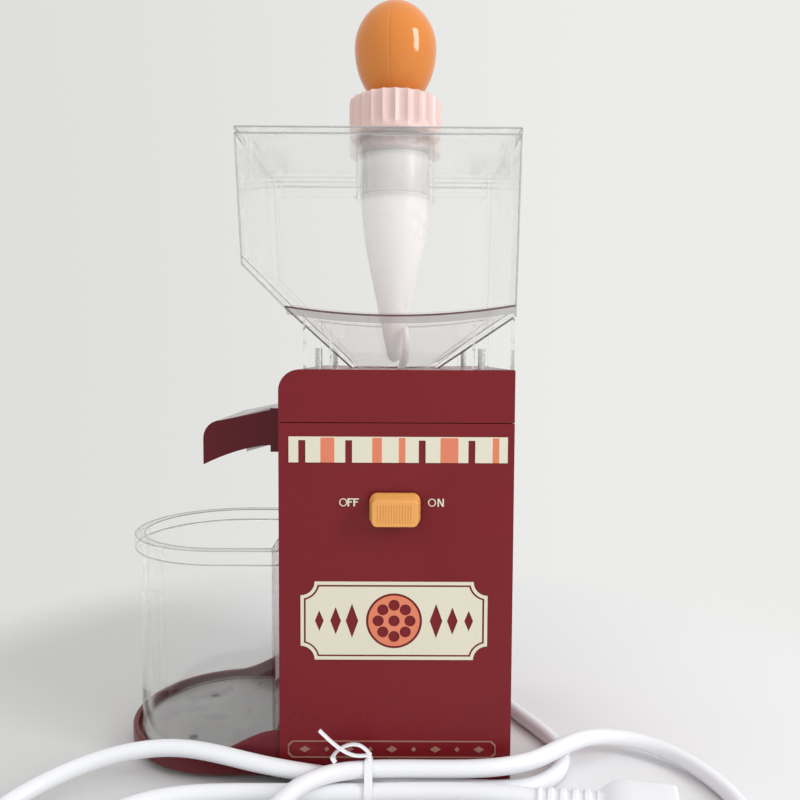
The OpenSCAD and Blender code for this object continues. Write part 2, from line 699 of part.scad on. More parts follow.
// The knob: a block with a wide bevel round its front, fine upright ribs and a neck into the switch.
knob_round = 3.4;
rib_pitch = 1.1;
module rounded_plate(w, h, r, t) linear_extrude(t) {
    square([w - 2*r, h], center = true);
    square([w, h - 2*r], center = true);
    for (sx = [-1, 1], sy = [-1, 1]) translate([sx*(w/2 - r), sy*(h/2 - r)]) circle(r = r, $fn = 32);
}
module switch_knob() color([0.85, 0.45, 0.13]) place() translate([sw_x, -trim_t, sw_z]) rotate([90, 0, 0]) {
    rounded_plate(switch_w, switch_h, knob_round, 3.5);
    hull() {
        translate([0, 0, 3.5]) rounded_plate(switch_w, switch_h, knob_round, 0.01);
        translate([0, -0.8, switch_out - 0.6]) rounded_plate(switch_w - 4.4, switch_h - 6, 1.2, 0.01);
    }
    for (i = [-7:7]) translate([i*rib_pitch - 0.3, -0.8 - (switch_h - 7)/2, switch_out - 0.7])
        cube([0.6, switch_h - 7, 0.7]);
    translate([-neck_w/2, -neck_h/2, -wall - 3]) cube([neck_w, neck_h, wall + 3.1]);
}

module switch_body() color([0.2, 0.2, 0.21]) place() difference() {
    union() {
        translate([sw_x - 16 - switch_travel/2, wall, sw_z - 9]) cube([32, 14, 18]);
        for (s = [-1, 1]) translate([sw_x - switch_travel/2 + s*8 - 2.5, wall + 14, sw_z - 0.4])
            cube([5, 6, 0.8]);
    }
    translate([sw_x - neck_w/2 - switch_travel - 0.5, wall - 1, sw_z - neck_h/2 - 0.4])
        cube([neck_w + switch_travel + 1, 5, neck_h + 0.8]);
}

// ------------------------------------------------------------------ top cover and hopper

// The cover's front view: square on the right, rounded on the left.
module cover_front(x0, x1, z0, z1, r) {
    translate([x0, z0]) square([x1 - x0, z1 - z0 - r]);
    translate([x0 + r, z0]) square([x1 - x0 - r, z1 - z0]);
    translate([x0 + r, z1 - r]) circle(r = r);
}
module along_y(y0, y1) translate([0, y1, 0]) rotate([90, 0, 0]) linear_extrude(y1 - y0) children();

module top_cover() color(cover_red) place() difference() {
    union() {
        difference() {
            along_y(0, body_d) cover_front(-side, side, cover_z, top_z, cover_round);
            along_y(wall, body_d - wall)
                cover_front(-inside, inside, cover_z - 1, roof_z, cover_round - wall);
        }
        // screw bosses under the roof
        at(hopper_screw_xy) translate([0, 0, roof_z - 3]) cylinder(h = 3.5, r = boss_r);
        // post that holds the interlock pin down
        translate([pin_x, pin_y, post_low]) cylinder(h = roof_z - post_low + 0.5, r = 3);
    }
    translate([mill_x, mill_y, roof_z - 1]) cylinder(h = wall + 2, r = throat_out + slack);
    at(hopper_screw_xy) translate([0, 0, roof_z - 4]) cylinder(h = wall + 5, r = hopper_screw_r + slack);
    // notch over the trough
    translate([-side - 1, root_y[0], cover_z - 1]) cube([wall + 2, root_w, notch_z - cover_z + 1]);
}

// A long tilted cylinder whose skin is a front or rear chute panel. grow moves the skin outwards.
module panel_drum(grow) translate([mill_x, mill_y - throat_out, top_z]) rotate([-front_slope, 0, 0])
    translate([0, 0, panel_bow]) rotate([90, 0, 0]) translate([0, 0, -200])
        cylinder(h = 400, r = panel_bow + grow, $fn = 360);

// The hopper's front view, drawn t inside its outer skin.
function hopper_points(t, top) = [
    [-hopper_left + t, top], [-hopper_left + hopper_lean + t, knee_z + t*tan(left_slope/2)],
    [mill_x - left_foot + t/sin(left_slope), top_z],
    [mill_x + right_foot - t/sin(right_slope), top_z],
    [right_knee_x - t, right_knee_z + t*tan((90 - right_slope)/2)*0.9], [hopper_right - t, top]];
module hopper_form(t, top) intersection() {
    along_y(hopper_y0 + t, hopper_y1 - t) polygon(hopper_points(t, top));
    panel_drum(-t);
    translate([0, 2*mill_y, 0]) mirror([0, 1, 0]) panel_drum(-t);
}

module hopper() color(clear) place() difference() {
    union() {
        hopper_form(0, rim_z);
        for (y = [hopper_y0, hopper_y1 - leg_d], x = [leg_left, leg_right])
            translate([x[0], y, top_z]) cube([x[1] - x[0], leg_d, leg_z - top_z]);
        translate([mill_x, mill_y, throat_low]) cylinder(h = top_z - throat_low + 1, r = throat_out);
    }
    hopper_form(clear_t, rim_z + 1);
    translate([mill_x, mill_y, throat_low - 1]) cylinder(h = top_z - throat_low + 3, r = throat_r);
    at(hopper_screw_xy) translate([0, 0, top_z - 1])
        cylinder(h = hopper_screw_l + 1.5, r = hopper_screw_r + fit);
}

module hopper_screws() color(steel) place() at(hopper_screw_xy)
    translate([0, 0, roof_z - 3 - head_h]) screw(3 + wall + hopper_screw_l, hopper_screw_r);

// An L-shaped tab in a corner of the hopper: sx and sy point from the corner along the walls.
module lid_corner(x, y, sx, sy, h) for (v = [[lid_tab_w, clear_t], [clear_t, lid_tab_w]])
    translate([sx > 0 ? x : x - v[0], sy > 0 ? y : y - v[1], lid_z - h]) cube([v[0], v[1], h + 0.5]);
tab_in = 1.2;
tab_x = [-hopper_left + clear_t + tab_in + 0.8, hopper_right - clear_t - tab_in - 0.6];
tab_y = [hopper_y0 + clear_t + tab_in, hopper_y1 - clear_t - tab_in];
module hopper_lid() color(clear) place() difference() {
    union() {
        translate([-hopper_left - lid_overhang, hopper_y0 - lid_overhang, lid_z])
            cube([hopper_left + hopper_right + 2*lid_overhang, hopper_y1 - hopper_y0 + 2*lid_overhang,
                lid_t]);
        for (i = [0, 1], k = [0, 1])
            lid_corner(tab_x[i], tab_y[k], 1 - 2*i, 1 - 2*k, k == 0 ? lid_tab : lid_rear_tab);
        translate([mill_x, mill_y, lid_z - collar_down]) {
            cylinder(h = collar_down + lid_t + collar_up, r = collar_r + collar_t);
            cylinder(h = 2, r = collar_r + collar_t + 0.8);
        }
    }
    translate([mill_x, mill_y, lid_z - collar_down - 1])
        cylinder(h = collar_down + lid_t + collar_up + 2, r = collar_r);
}

// ------------------------------------------------------------------ pusher

// Radius of the nose at a share t of the way from the tube down to the tip, where it rounds off.
nose_steps = 14;
tip_l = 6;
function nose_radius(t) = nose_tip_r
    + (pusher_r - nose_tip_r)*pow(1 - t, 0.9)*(1 + 0.223*sin(180*t)*(1 - t));
function nose_point(i) = let (t = i/nose_steps) [nose_radius(t), nose_z - t*(nose_l - tip_l)];
module pusher_tube() color([0.95, 0.94, 0.94, 0.8]) place() translate([mill_x, mill_y, 0]) difference() {
    rotate_extrude($fn = 96) polygon(concat([[0, ring_z - gap], [pusher_r, ring_z - gap]],
        [for (i = [0:nose_steps]) nose_point(i)],
        [for (i = [1:6]) let (a = i*15) [nose_tip_r*cos(a), nose_z - nose_l + tip_l*(1 - sin(a))]]));
    translate([0, 0, nose_z - 20]) cylinder(h = ring_z - nose_z + 21, r = pusher_bore);
}

// The ring is a plain band at its foot, and wide flutes run from there out through its top edge.
flute_r = 3.4;
flute_z = 2.4;
module pusher_ring() color([0.93, 0.86, 0.84]) place() translate([mill_x, mill_y, ring_z]) difference() {
    union() {
        cylinder(h = ring_h, r = ring_r, $fn = 96);
        translate([0, 0, -spigot_l]) cylinder(h = spigot_l + 1, r = pusher_bore - gap);
    }
    for (i = [0:flutes - 1]) rotate([0, 0, (i + 0.5)*360/flutes])
        translate([ring_r - flute_depth + flute_r, 0, flute_z]) cylinder(h = ring_h, r = flute_r, $fn = 24);
    translate([0, 0, ring_h - 8]) cylinder(h = 9, r = 5);
}

// Outline of the egg: an ellipse whose upper half is a little slimmer, cut off at the neck.
egg_mid = 0.527;
egg_steps = 20;
egg_low = asin(neck_r/egg_r);
function egg_point(a) = a < 90
    ? [egg_r*sin(a), egg_h*egg_mid*(1 - (cos(a)/cos(egg_low)))]
    : [egg_r*sin(a)*(1 - 0.05*pow(-cos(a), 2)), egg_h*(egg_mid + (1 - egg_mid)*-cos(a))];
module pusher_knob() color([0.84, 0.36, 0.08]) place() translate([mill_x, mill_y, egg_z]) {
    rotate_extrude($fn = 96) polygon(concat([[0, 0]],
        [for (i = [0:egg_steps]) egg_point(egg_low + (180 - egg_low)*i/egg_steps)]));
    translate([0, 0, -7.5]) cylinder(h = 8, r = 5 - fit);
}

// ------------------------------------------------------------------ chute hood

hood_end = -side - hood_reach;
hood_block_x = -side - hood_block;
function hood_roof(x) = hood_top - 0.8 + (x - hood_block_x)*tan(hood_fall);
hood_sill = 2.2;
// The hood's lower edge falls along a curve from the block to the outer end.
hood_low_root = hood_low + 3;
hood_low_end = hood_low - 5.8;
function hood_edge(t) = [hood_block_x + t*(hood_end - hood_block_x),
    hood_low_root + (hood_low_end - hood_low_root)*pow(t, 1.7)];
corner_x = hood_end + hood_round;
corner_z = hood_roof(corner_x) - hood_round;
module hood_side(inset) polygon(concat(
    [for (i = [0:8]) let (p = hood_edge(i/8)) [max(p[0], hood_end + inset), p[1] - (inset > 0 ? 5 : 0)]],
    [for (i = [0:6]) let (a = 180 - i*15, r = hood_round - inset) [corner_x + r*cos(a), corner_z + r*sin(a)]],
    [[hood_block_x, hood_roof(hood_block_x) - inset]]));
module chute_hood() color([0.24, 0.03, 0.05]) place() difference() {
    union() {
        along_y(hood_y[0], hood_y[1]) hood_side(0);
        translate([hood_block_x, hood_y[0], hood_low])
            cube([hood_block, hood_w, seam_z - hood_low]);
        translate([hood_block_x, hood_y[0], hood_low])
            cube([hood_block - gap, hood_w, hood_root]);
    }
    along_y(hood_y[0] + hood_t, hood_y[1] - hood_t) hood_side(hood_t);
    translate([hood_block_x - 1, root_y[0], hood_low + hood_sill])
        cube([hood_block + 2, root_w, hood_root - hood_sill - hood_t]);
}

// ------------------------------------------------------------------ mill

module deck_plate() color([0.75, 0.75, 0.74]) place() difference() {
    union() {
        translate([-inside + slack, wall + slack, deck_low])
            cube([2*inside - 2*slack, rear_y - wall - 2*slack, deck_t]);
        translate([mill_x, mill_y, deck_low - bearing_h - 1])
            cylinder(h = bearing_h + 2, r = bearing_r + 2.5);
        translate([axle_x, axle_y, deck_low - 3]) cylinder(h = 4, r = axle_r + 2);
        translate([pin_x, pin_y, deck_low]) cylinder(h = deck_t + 3, r = pin_r + 2);
    }
    translate([mill_x, mill_y, deck_low - bearing_h - 2]) cylinder(h = bearing_h + 1, r = bearing_r + fit);
    translate([mill_x, mill_y, deck_low - 3]) cylinder(h = deck_t + 4, r = shaft_r + 0.5);
    translate([mill_x, mill_y, deck_low - 0.5]) cylinder(h = deck_t + 1, r = seal_r);
    translate([axle_x, axle_y, deck_low - 4]) cylinder(h = deck_t + 2, r = axle_r + fit);
    translate([pin_x, pin_y, deck_low - 1]) cylinder(h = deck_t + 6, r = pin_r + fit);
    at(concat(deck_screw_xy, post_xy)) translate([0, 0, deck_low - 1])
        cylinder(h = deck_t + 2, r = tap_r + slack);
}

module deck_screws() color(steel) place() {
    at(concat(deck_screw_xy, post_xy)) translate([0, 0, deck_z + head_h]) mirror([0, 0, 1])
        screw(deck_t + deck_bite);
}

seal_r = 8;
module shaft_seal() color([0.1, 0.1, 0.1]) place() translate([mill_x, mill_y, deck_low - 0.5]) difference() {
    cylinder(h = deck_t + 0.5, r = seal_r - fit);
    translate([0, 0, -1]) cylinder(h = deck_t + 3, r = shaft_r + 0.1);
}

// The cup's plan: a round cup that runs out to the left as a channel of the same width.
module cup_plan(r, left) {
    circle(r = r, $fn = 96);
    translate([left - mill_x, -r]) square([mill_x - left, 2*r]);
}
module trough_floor() translate([0, mill_y + cup_r, 0]) rotate([90, 0, 0]) linear_extrude(2*cup_r)
    polygon([[trough_kink, deck_z], [trough_end, deck_z - trough_drop],
        [trough_end, deck_z - trough_drop + cup_t], [trough_kink, deck_z + cup_t]]);
module trough_wall() translate([0, cup_t, 0]) rotate([90, 0, 0]) linear_extrude(cup_t)
    polygon([[trough_kink, deck_z], [trough_end, deck_z - trough_drop], [trough_end, deck_z + 3],
        [trough_kink, deck_z + 6]]);
module mill_cup() color([0.9, 0.9, 0.88]) place() difference() {
    union() {
        translate([mill_x, mill_y, deck_z]) difference() {
            linear_extrude(cup_top - deck_z) cup_plan(cup_r, trough_kink);
            translate([0, 0, cup_t]) linear_extrude(cup_top) cup_plan(cup_r - cup_t, trough_kink - 1);
        }
        trough_floor();
        for (y = [mill_y - cup_r, mill_y + cup_r - cup_t]) translate([0, y, 0]) trough_wall();
    }
    translate([mill_x, mill_y, deck_z - 1]) cylinder(h = cup_t + 2, r = shaft_r + 0.6);
}

// Inner radius of the fixed ring at height z, which follows the rotor's cone.
function cone_r(z) = rotor_r + (rotor_top_r - rotor_r)*(z - rotor_z)/rotor_h;
cone_lean = -atan((rotor_r - rotor_top_r)/rotor_h);
groove_skew = 8;
module fixed_burr() color([0.62, 0.62, 0.64]) place() translate([mill_x, mill_y, 0]) difference() {
    union() {
        translate([0, 0, ring_low]) cylinder(h = fixed_top - ring_low, r = fixed_r, $fn = 96);
        translate([0, 0, cup_top]) cylinder(h = 2.5, r = cup_r - 0.3, $fn = 96);
    }
    translate([0, 0, ring_low - 0.01]) cylinder(h = rotor_top - ring_low, r1 = cone_r(ring_low) + grind_gap,
        r2 = cone_r(rotor_top) + grind_gap, $fn = 96);
    translate([0, 0, rotor_top - 1.1])
        cylinder(h = 4, r1 = rotor_top_r + grind_gap, r2 = throat_r + 2, $fn = 96);
    for (i = [0:ring_teeth - 1]) rotate([0, 0, i*360/ring_teeth])
        translate([cone_r(ring_low - 1) + grind_gap, 0, ring_low - 1]) rotate([0, cone_lean, 0])
            translate([-1, -0.8, 0]) cube([2, 1.6, rotor_h]);
}

module rotor_burr() color([0.66, 0.66, 0.68]) place() translate([mill_x, mill_y, 0]) difference() {
    translate([0, 0, rotor_z]) cylinder(h = rotor_h, r1 = rotor_r, r2 = rotor_top_r, $fn = 96);
    for (i = [0:rotor_teeth - 1]) rotate([0, 0, i*360/rotor_teeth])
        translate([cone_r(rotor_z - 1), 0, rotor_z - 1]) rotate([0, cone_lean, 0]) rotate([groove_skew, 0, 0])
            translate([-1.4, -1, -2]) cube([4, 2, rotor_h*1.4 + 2]);
    translate([0, 0, rotor_z - 1]) cylinder(h = rotor_h + 2, r = shaft_r + fit);
}

paddles = 4;
module sweeper_disc() color([0.92, 0.92, 0.9]) place() translate([mill_x, mill_y, sweep_z]) difference() {
    union() {
        cylinder(h = sweep_t, r = cup_r - cup_t - 1.5, $fn = 96);
        cylinder(h = rotor_z - sweep_z, r = rotor_r - 6);
        for (i = [0:paddles - 1]) rotate([0, 0, i*360/paddles]) translate([rotor_r - 7, -1, sweep_t - 0.1])
            cube([cup_r - cup_t - 2.5 - rotor_r + 7, 2, 1.6]);
    }
    translate([0, 0, -1]) cylinder(h = rotor_z - sweep_z + 2, r = shaft_r + fit);
}

// The arm rises out of the hub, bows outwards and curls back at its tip.
arm_steps = 8;
hub_z = rotor_top + 0.2;
function arm_at(t) = [4.2 + (arm_reach - 1.9 - 4.2)*sin(125*t)*1.0, 0, hub_z + hub_h - 2 + t*(arm_h + 2)];
module arm_bead(t) translate(arm_at(t)) sphere(r = 2.1 - 0.4*t, $fn = 16);
module agitator_arm() color([0.94, 0.94, 0.93]) place() translate([mill_x, mill_y, 0]) {
    difference() {
        translate([0, 0, hub_z]) cylinder(h = hub_h, r = hub_r);
        translate([0, 0, hub_z - 1]) cylinder(h = 7, r = shaft_r + fit);
    }
    rotate([0, 0, arm_turn]) for (i = [0:arm_steps - 2]) hull() {
        arm_bead(i/(arm_steps - 1));
        arm_bead((i + 1)/(arm_steps - 1));
    }
}

// ------------------------------------------------------------------ gear train

module output_shaft() color(steel) place() translate([mill_x, mill_y, plate_top - 1])
    cylinder(h = hub_z + 5 - plate_top + 1, r = shaft_r);

module bearing(outer, inner, h) difference() {
    cylinder(h = h, r = outer);
    translate([0, 0, -1]) cylinder(h = h + 2, r = inner);
    for (z = [-0.01, h - 0.5]) translate([0, 0, z]) difference() {
        cylinder(h = 0.51, r = outer - 1.8);
        translate([0, 0, -1]) cylinder(h = 3, r = inner + 1.8);
    }
}
module output_bearings() color([0.78, 0.78, 0.8]) place()
    for (z = [plate_top + 0.5, deck_low - bearing_h - 1]) translate([mill_x, mill_y, z])
        bearing(bearing_r, shaft_r + fit, bearing_h);

module output_gear() color([0.93, 0.9, 0.8]) place() translate([mill_x, mill_y, gear_z2 + 0.5]) difference() {
    union() {
        gear(output_teeth, module_2, gear_w2 - 1, axle_turn);
        cylinder(h = gear_w2 + 1, r = shaft_r + 4);
    }
    translate([0, 0, -1]) cylinder(h = gear_w2 + 3, r = shaft_r + fit);
}

// The compound gear: its small pinion meets the output wheel, its large wheel the motor pinion.
module compound_gear() color([0.85, 0.82, 0.7]) place() translate([axle_x, axle_y, 0]) difference() {
    union() {
        translate([0, 0, gear_z1]) gear(wheel_teeth, module_1, gear_w1, motor_turn);
        translate([0, 0, gear_z1 + gear_w1])
            cylinder(h = gear_z2 - gear_z1 - gear_w1 + 0.5, r = small_teeth*module_2/2 - 1.2*module_2);
        translate([0, 0, gear_z2]) gear(small_teeth, module_2, gear_w2, axle_turn + 180 + 180/small_teeth);
    }
    translate([0, 0, gear_z1 - 1]) cylinder(h = gear_z2 + gear_w2 - gear_z1 + 2, r = axle_r + fit);
}

module compound_axle() color(steel) place() translate([axle_x, axle_y, plate_low]) {
    cylinder(h = deck_low - plate_low, r = axle_r);
    translate([0, 0, plate_t]) cylinder(h = gear_z1 - plate_top - 0.4, r = axle_r + 2);
}

module motor_pinion() color([0.8, 0.66, 0.34]) motor_at(gear_z1 - 1) difference() {
    gear(pinion_teeth, module_1, gear_w1 + 1.5, motor_turn + 180 + 180/pinion_teeth);
    translate([0, 0, -1]) cylinder(h = gear_w1 + 4, r = motor_shaft_r + fit);
}

motor_screw_r = 11;
motor_screw_xy = [for (s = [-1, 1]) [motor_x, motor_y + s*motor_screw_r]];
plate_in = 4;
module gearbox_plate() color([0.72, 0.73, 0.75]) place() difference() {
    union() {
        translate([-inside + plate_in, post_y[0] - 5, plate_low])
            cube([2*inside - 2*plate_in, post_y[1] - post_y[0] + 10, plate_t]);
        translate([mill_x, mill_y, plate_top]) cylinder(h = bearing_h, r = bearing_r + 2);
    }
    translate([mill_x, mill_y, plate_top]) cylinder(h = bearing_h + 1, r = bearing_r + fit);
    translate([mill_x, mill_y, plate_low - 1]) cylinder(h = plate_t + 2, r = shaft_r + 0.5);
    translate([axle_x, axle_y, plate_low - 1]) cylinder(h = plate_t + 2, r = axle_r + fit);
    translate([motor_x, motor_y, plate_low - 1]) cylinder(h = plate_t + 2, r = 6);
    at(motor_screw_xy) translate([0, 0, plate_low - 1]) cylinder(h = plate_t + 2, r = tap_r + slack);
    at(post_xy) translate([0, 0, plate_low - 1]) cylinder(h = plate_t + 2, r = tap_r + slack);
}

module gearbox_posts() color([0.75, 0.62, 0.33]) place() at(post_xy) translate([0, 0, plate_low]) {
    difference() {
        translate([0, 0, plate_t]) cylinder(h = gearbox_h, r = boss_r - 0.5);
        translate([0, 0, plate_t + gearbox_h - deck_bite - 1])
            cylinder(h = deck_bite + 2, r = tap_r + fit);
        translate([0, 0, plate_t - 1]) cylinder(h = deck_bite + 2, r = tap_r + fit);
    }
    translate([0, 0, -head_h]) screw(plate_t + deck_bite - 1);
}

// ------------------------------------------------------------------ motor

module motor_at(z) place() translate([motor_x, motor_y, z]) children();

can_t = 1.5;
module motor_can() color([0.6, 0.61, 0.63]) motor_at(can_low) difference() {
    cylinder(h = can_l, r = can_r);
    translate([0, 0, -1]) cylinder(h = can_l - 1, r = can_r - can_t);
    translate([0, 0, can_l - 3]) cylinder(h = 4, r = motor_shaft_r + 0.3);
    for (s = [-1, 1]) translate([0, s*motor_screw_r, can_l - 3]) cylinder(h = 4, r = tap_r);
    for (a = [45:90:315]) rotate([0, 0, a]) translate([can_r - 3, -3, 6]) cube([6, 6, 8]);
}

// The end cap carries the shaft's lower bearing and a holder round each brush.
cap_t = 3;
holder_t = 1.2;
holder_back = 3;
module at_brush(s) rotate([0, 0, s > 0 ? 0 : 180]) translate([com_r + gap, -brush[1]/2, 0]) children();
module motor_end_cap() color([0.15, 0.15, 0.16]) difference() {
    motor_at(can_low - cap_t) {
        cylinder(h = cap_t, r = can_r);
        cylinder(h = cap_t + 2, r = can_r - can_t - slack);
        cylinder(h = cap_t + 2.6, r = 5);
        for (s = [-1, 1]) at_brush(s) translate([holder_back, -holder_t, cap_t])
            cube([brush[0] - holder_back + holder_t, brush[1] + 2*holder_t, com_z + 1 + brush[2] - can_low]);
    }
    motor_at(can_low - cap_t - 1) cylinder(h = cap_t + 9, r = motor_shaft_r + fit);
    motor_at(com_z + 1) for (s = [-1, 1]) at_brush(s) cube([brush[0], brush[1], brush[2] + 1]);
}

module motor_magnets() color([0.22, 0.22, 0.23]) motor_at(core_low) difference() {
    cylinder(h = core_h, r = can_r - can_t - fit);
    translate([0, 0, -1]) cylinder(h = core_h + 2, r = core_r + 0.6);
    for (s = [-1, 1]) translate([-can_r, s*can_r - can_r*0.55, -1]) cube([2*can_r, can_r*1.1, core_h + 2]);
}

slot_in = 5;
module armature_core() color([0.5, 0.5, 0.53]) motor_at(core_low) difference() {
    cylinder(h = core_h, r = core_r);
    translate([0, 0, -1]) cylinder(h = core_h + 2, r = motor_shaft_r + fit);
    for (i = [0:core_slots - 1]) rotate([0, 0, (i + 0.5)*360/core_slots]) {
        translate([core_r - 2, -0.6, -1]) cube([4, 1.2, core_h + 2]);
        translate([core_r - slot_in, 0, -1]) cylinder(h = core_h + 2, r = 2.4, $fn = 24);
    }
}

module armature_coils() color([0.72, 0.36, 0.14]) motor_at(0) {
    for (z = [core_low - coil_h, core_low + core_h]) translate([0, 0, z]) difference() {
        cylinder(h = coil_h, r = core_r - 2.4);
        translate([0, 0, -1]) cylinder(h = coil_h + 2, r = motor_shaft_r + 2);
    }
    for (i = [0:core_slots - 1]) rotate([0, 0, (i + 0.5)*360/core_slots])
        translate([core_r - slot_in, 0, core_low - coil_h + 1])
            cylinder(h = core_h + 2*coil_h - 2, r = 2.1, $fn = 24);
}

module commutator() color([0.78, 0.45, 0.2]) motor_at(com_z) difference() {
    cylinder(h = com_h, r = com_r);
    translate([0, 0, -1]) cylinder(h = com_h + 2, r = motor_shaft_r + fit);
    for (i = [0:core_slots - 1]) rotate([0, 0, i*360/core_slots])
        translate([com_r - 0.6, -0.2, -1]) cube([2, 0.4, com_h + 2]);
}

module carbon_brushes() color([0.25, 0.25, 0.26]) motor_at(com_z + 1) for (s = [-1, 1])
    at_brush(s) cube(brush);

module motor_shaft() color(steel) motor_at(fan_z - 1)
    cylinder(h = gear_z1 + gear_w1 + 1 - fan_z + 1, r = motor_shaft_r);

module motor_screws() color(steel) place() at(motor_screw_xy)
    translate([0, 0, plate_top + head_h]) mirror([0, 0, 1]) screw(plate_t + 1.4, tap_r - fit);

module cooling_fan() color([0.85, 0.85, 0.83]) motor_at(fan_z) difference() {
    union() {
        cylinder(h = fan_h, r = 5);
        translate([0, 0, fan_h - 1.5]) cylinder(h = 1.5, r = fan_r);
        for (i = [0:fan_blades - 1]) rotate([0, 0, i*360/fan_blades]) translate([3, -0.7, 0])
            cube([fan_r - 3.4, 1.4, fan_h - 1]);
    }
    translate([0, 0, -1]) cylinder(h = fan_h + 2, r = motor_shaft_r + fit);
}

// ------------------------------------------------------------------ electrical pieces

board = [1.6, 40, 46];
board_y = 34;
board_z = 28;
capacitor = [14, 5];
capacitor_z = 8;
diode = [2.6, 4.6, 7];
diode_z = 28;
clip = 4;
module rectifier_board() color([0.16, 0.36, 0.2]) place()
    translate([-inside + clip - 1, board_y, stand_h + board_z]) {
        cube(board);
        for (y = [board[1]*0.2, board[1]*0.65]) translate([board[0], y, capacitor_z])
            rotate([0, 90, 0]) cylinder(h = capacitor[0], r = capacitor[1]);
        for (i = [0:3]) translate([board[0], board[1]*(0.15 + i*0.2), diode_z]) cube(diode);
        for (z = [capacitor_z - 2, board[2] - 2*clip - 2])
            translate([1 - clip, board[1]/2 - clip/2, z]) cube([clip - 0.9, clip, clip]);
    }

// The micro switch stands under the interlock pin, with three tabs below it.
micro = [12, 20, 10];
tab = [0.8, 3.2, 4];
module micro_switch() color([0.13, 0.13, 0.14]) place()
    translate([inside - micro[0], pin_y - micro[1]*0.45, pin_low - gap - micro[2]]) {
        difference() {
            cube(micro);
            for (y = [micro[1]/4, micro[1]*3/4]) translate([-1, y, 3])
                rotate([0, 90, 0]) cylinder(h = micro[0] + 2, r = 1.2);
        }
        for (i = [-1:1]) translate([micro[0]/3, micro[1]/2 + i*7 - tab[1]/2, -tab[2]])
            cube([tab[0], tab[1], tab[2] + 0.1]);
    }

module interlock_pin() color([0.9, 0.3, 0.2]) place() translate([pin_x, pin_y, 0]) {
    translate([0, 0, pin_low]) cylinder(h = post_low - gap - pin_low, r = pin_r);
    translate([0, 0, pin_low]) cylinder(h = 1, r = pin_r + 1);
}

// ------------------------------------------------------------------ mains cord

gland_r = 6.2;
gland_l = 28;
relief_r = cord_d/2 + 1;
module at_exit() place() translate([exit_x, rear_y, exit_z]) rotate([-90, 0, 0]) children();
module cord_gland() color(white_cord) at_exit() difference() {
    union() {
        translate([0, 0, -4]) cylinder(h = 4 + wall, r = gland_r - fit);
        translate([0, 0, -4]) cylinder(h = 3.8, r = gland_r + 1.2);
        translate([0, 0, wall]) cylinder(h = 2, r = gland_r + 1.5);
        translate([0, 0, wall + 2]) cylinder(h = gland_l - 2, r1 = gland_r, r2 = relief_r);
    }
    translate([0, 0, -5]) cylinder(h = 8, r = cord_d/2);
}

// The route is a uniform cubic B-spline over cord_route, lengthened by one mirrored point at each end.
last = len(cord_route) - 1;
spline = concat([2*cord_route[0] - cord_route[1]], cord_route, [2*cord_route[last] - cord_route[last - 1]]);
function at_route(i, t) = (pow(1 - t, 3)*spline[i] + (3*t*t*t - 6*t*t + 4)*spline[i + 1]
    + (-3*t*t*t + 3*t*t + 3*t + 1)*spline[i + 2] + t*t*t*spline[i + 3])/6;
function along(i, t) = (-pow(1 - t, 2)*spline[i] + (3*t*t - 4*t)*spline[i + 1]
    + (-3*t*t + 2*t + 1)*spline[i + 2] + t*t*spline[i + 3])/2;
ring_places = concat([for (i = [0:last - 1], t = [0, 0.5]) [i, t]], [[last - 1, 1]]);
cord_sides = 10;
function unit(v) = v/norm(v);
function cord_ring(c, d) = let (side_way = unit(cross(d, [0, 0, 1])), up_way = unit(cross(side_way, d)))
    [for (a = [0:360/cord_sides:359]) c + cord_d/2*(cos(a)*side_way + sin(a)*up_way)];
module power_cord() color(white_cord) place() {
    rings = len(ring_places);
    polyhedron(
        points = [for (q = ring_places) each cord_ring(at_route(q[0], q[1]), along(q[0], q[1]))],
        faces = concat([[for (k = [0:cord_sides - 1]) k]],
            [[for (k = [cord_sides - 1:-1:0]) (rings - 1)*cord_sides + k]],
            [for (i = [0:rings - 2], k = [0:cord_sides - 1])
                let (a = i*cord_sides + k, b = i*cord_sides + (k + 1)%cord_sides)
                each [[a, a + cord_sides, b + cord_sides], [a, b + cord_sides, b]]]));
}

// The plug lies on the surface, in line with the cord's last stretch; its length runs along local z.
plug_end = cord_route[last];
plug_way = cord_route[last] - cord_route[last - 1];
plug_relief = 24;
plug_l = 30;
plug_w = 25;
blade_l = 17;
blade_pitch = 12.7;
plug_neck = 6;
plug_h = 2*plug_end[2];
module at_plug() place() translate(plug_end) rotate([0, 0, atan2(plug_way[1], plug_way[0])])
    rotate([0, 90, 0]) children();
module plug_body() color(white_cord) at_plug() {
    cylinder(h = plug_relief, r1 = relief_r, r2 = relief_r + 1);
    translate([0, 0, plug_relief - 0.5])
        cylinder(h = plug_neck + 1, r1 = relief_r + 1.4, r2 = plug_h/2 - 0.4);
    translate([0, 0, plug_relief + plug_neck]) rounded_plate(plug_h, plug_w, 3, plug_l - plug_neck);
}
module plug_pins() color(steel) at_plug() for (s = [-1, 1])
    translate([-3.2, s*blade_pitch/2 - 0.75, plug_relief + plug_l]) cube([6.4, 1.5, blade_l]);

// A twist tie: a flat band round the three strands in front of the housing, a knot and a free end.
tie_strands = [[-5.6, 5.2], [-9.9, 12.2], [-13.8, 4.8]];
tie_w = 3.4;
tie_t = 0.7;
module strand_hull(r) hull() for (p = tie_strands) translate(p) circle(r = r);
module cord_tie() color(white_cord) place() translate([tie_x, 0, 0]) {
    rotate([90, 0, 90]) translate([0, 0, -tie_w/2]) linear_extrude(tie_w) difference() {
        strand_hull(cord_d/2 + 0.3 + tie_t);
        strand_hull(cord_d/2 + 0.3);
    }
    translate([0, tie_strands[1][0], tie_strands[1][1] + cord_d/2 + 0.4]) {
        cylinder(h = 3.6, r = 1.4);
        translate([0, 0, 2.4]) rotate([0, -60, 0]) cylinder(h = 24, r = 0.8);
    }
}

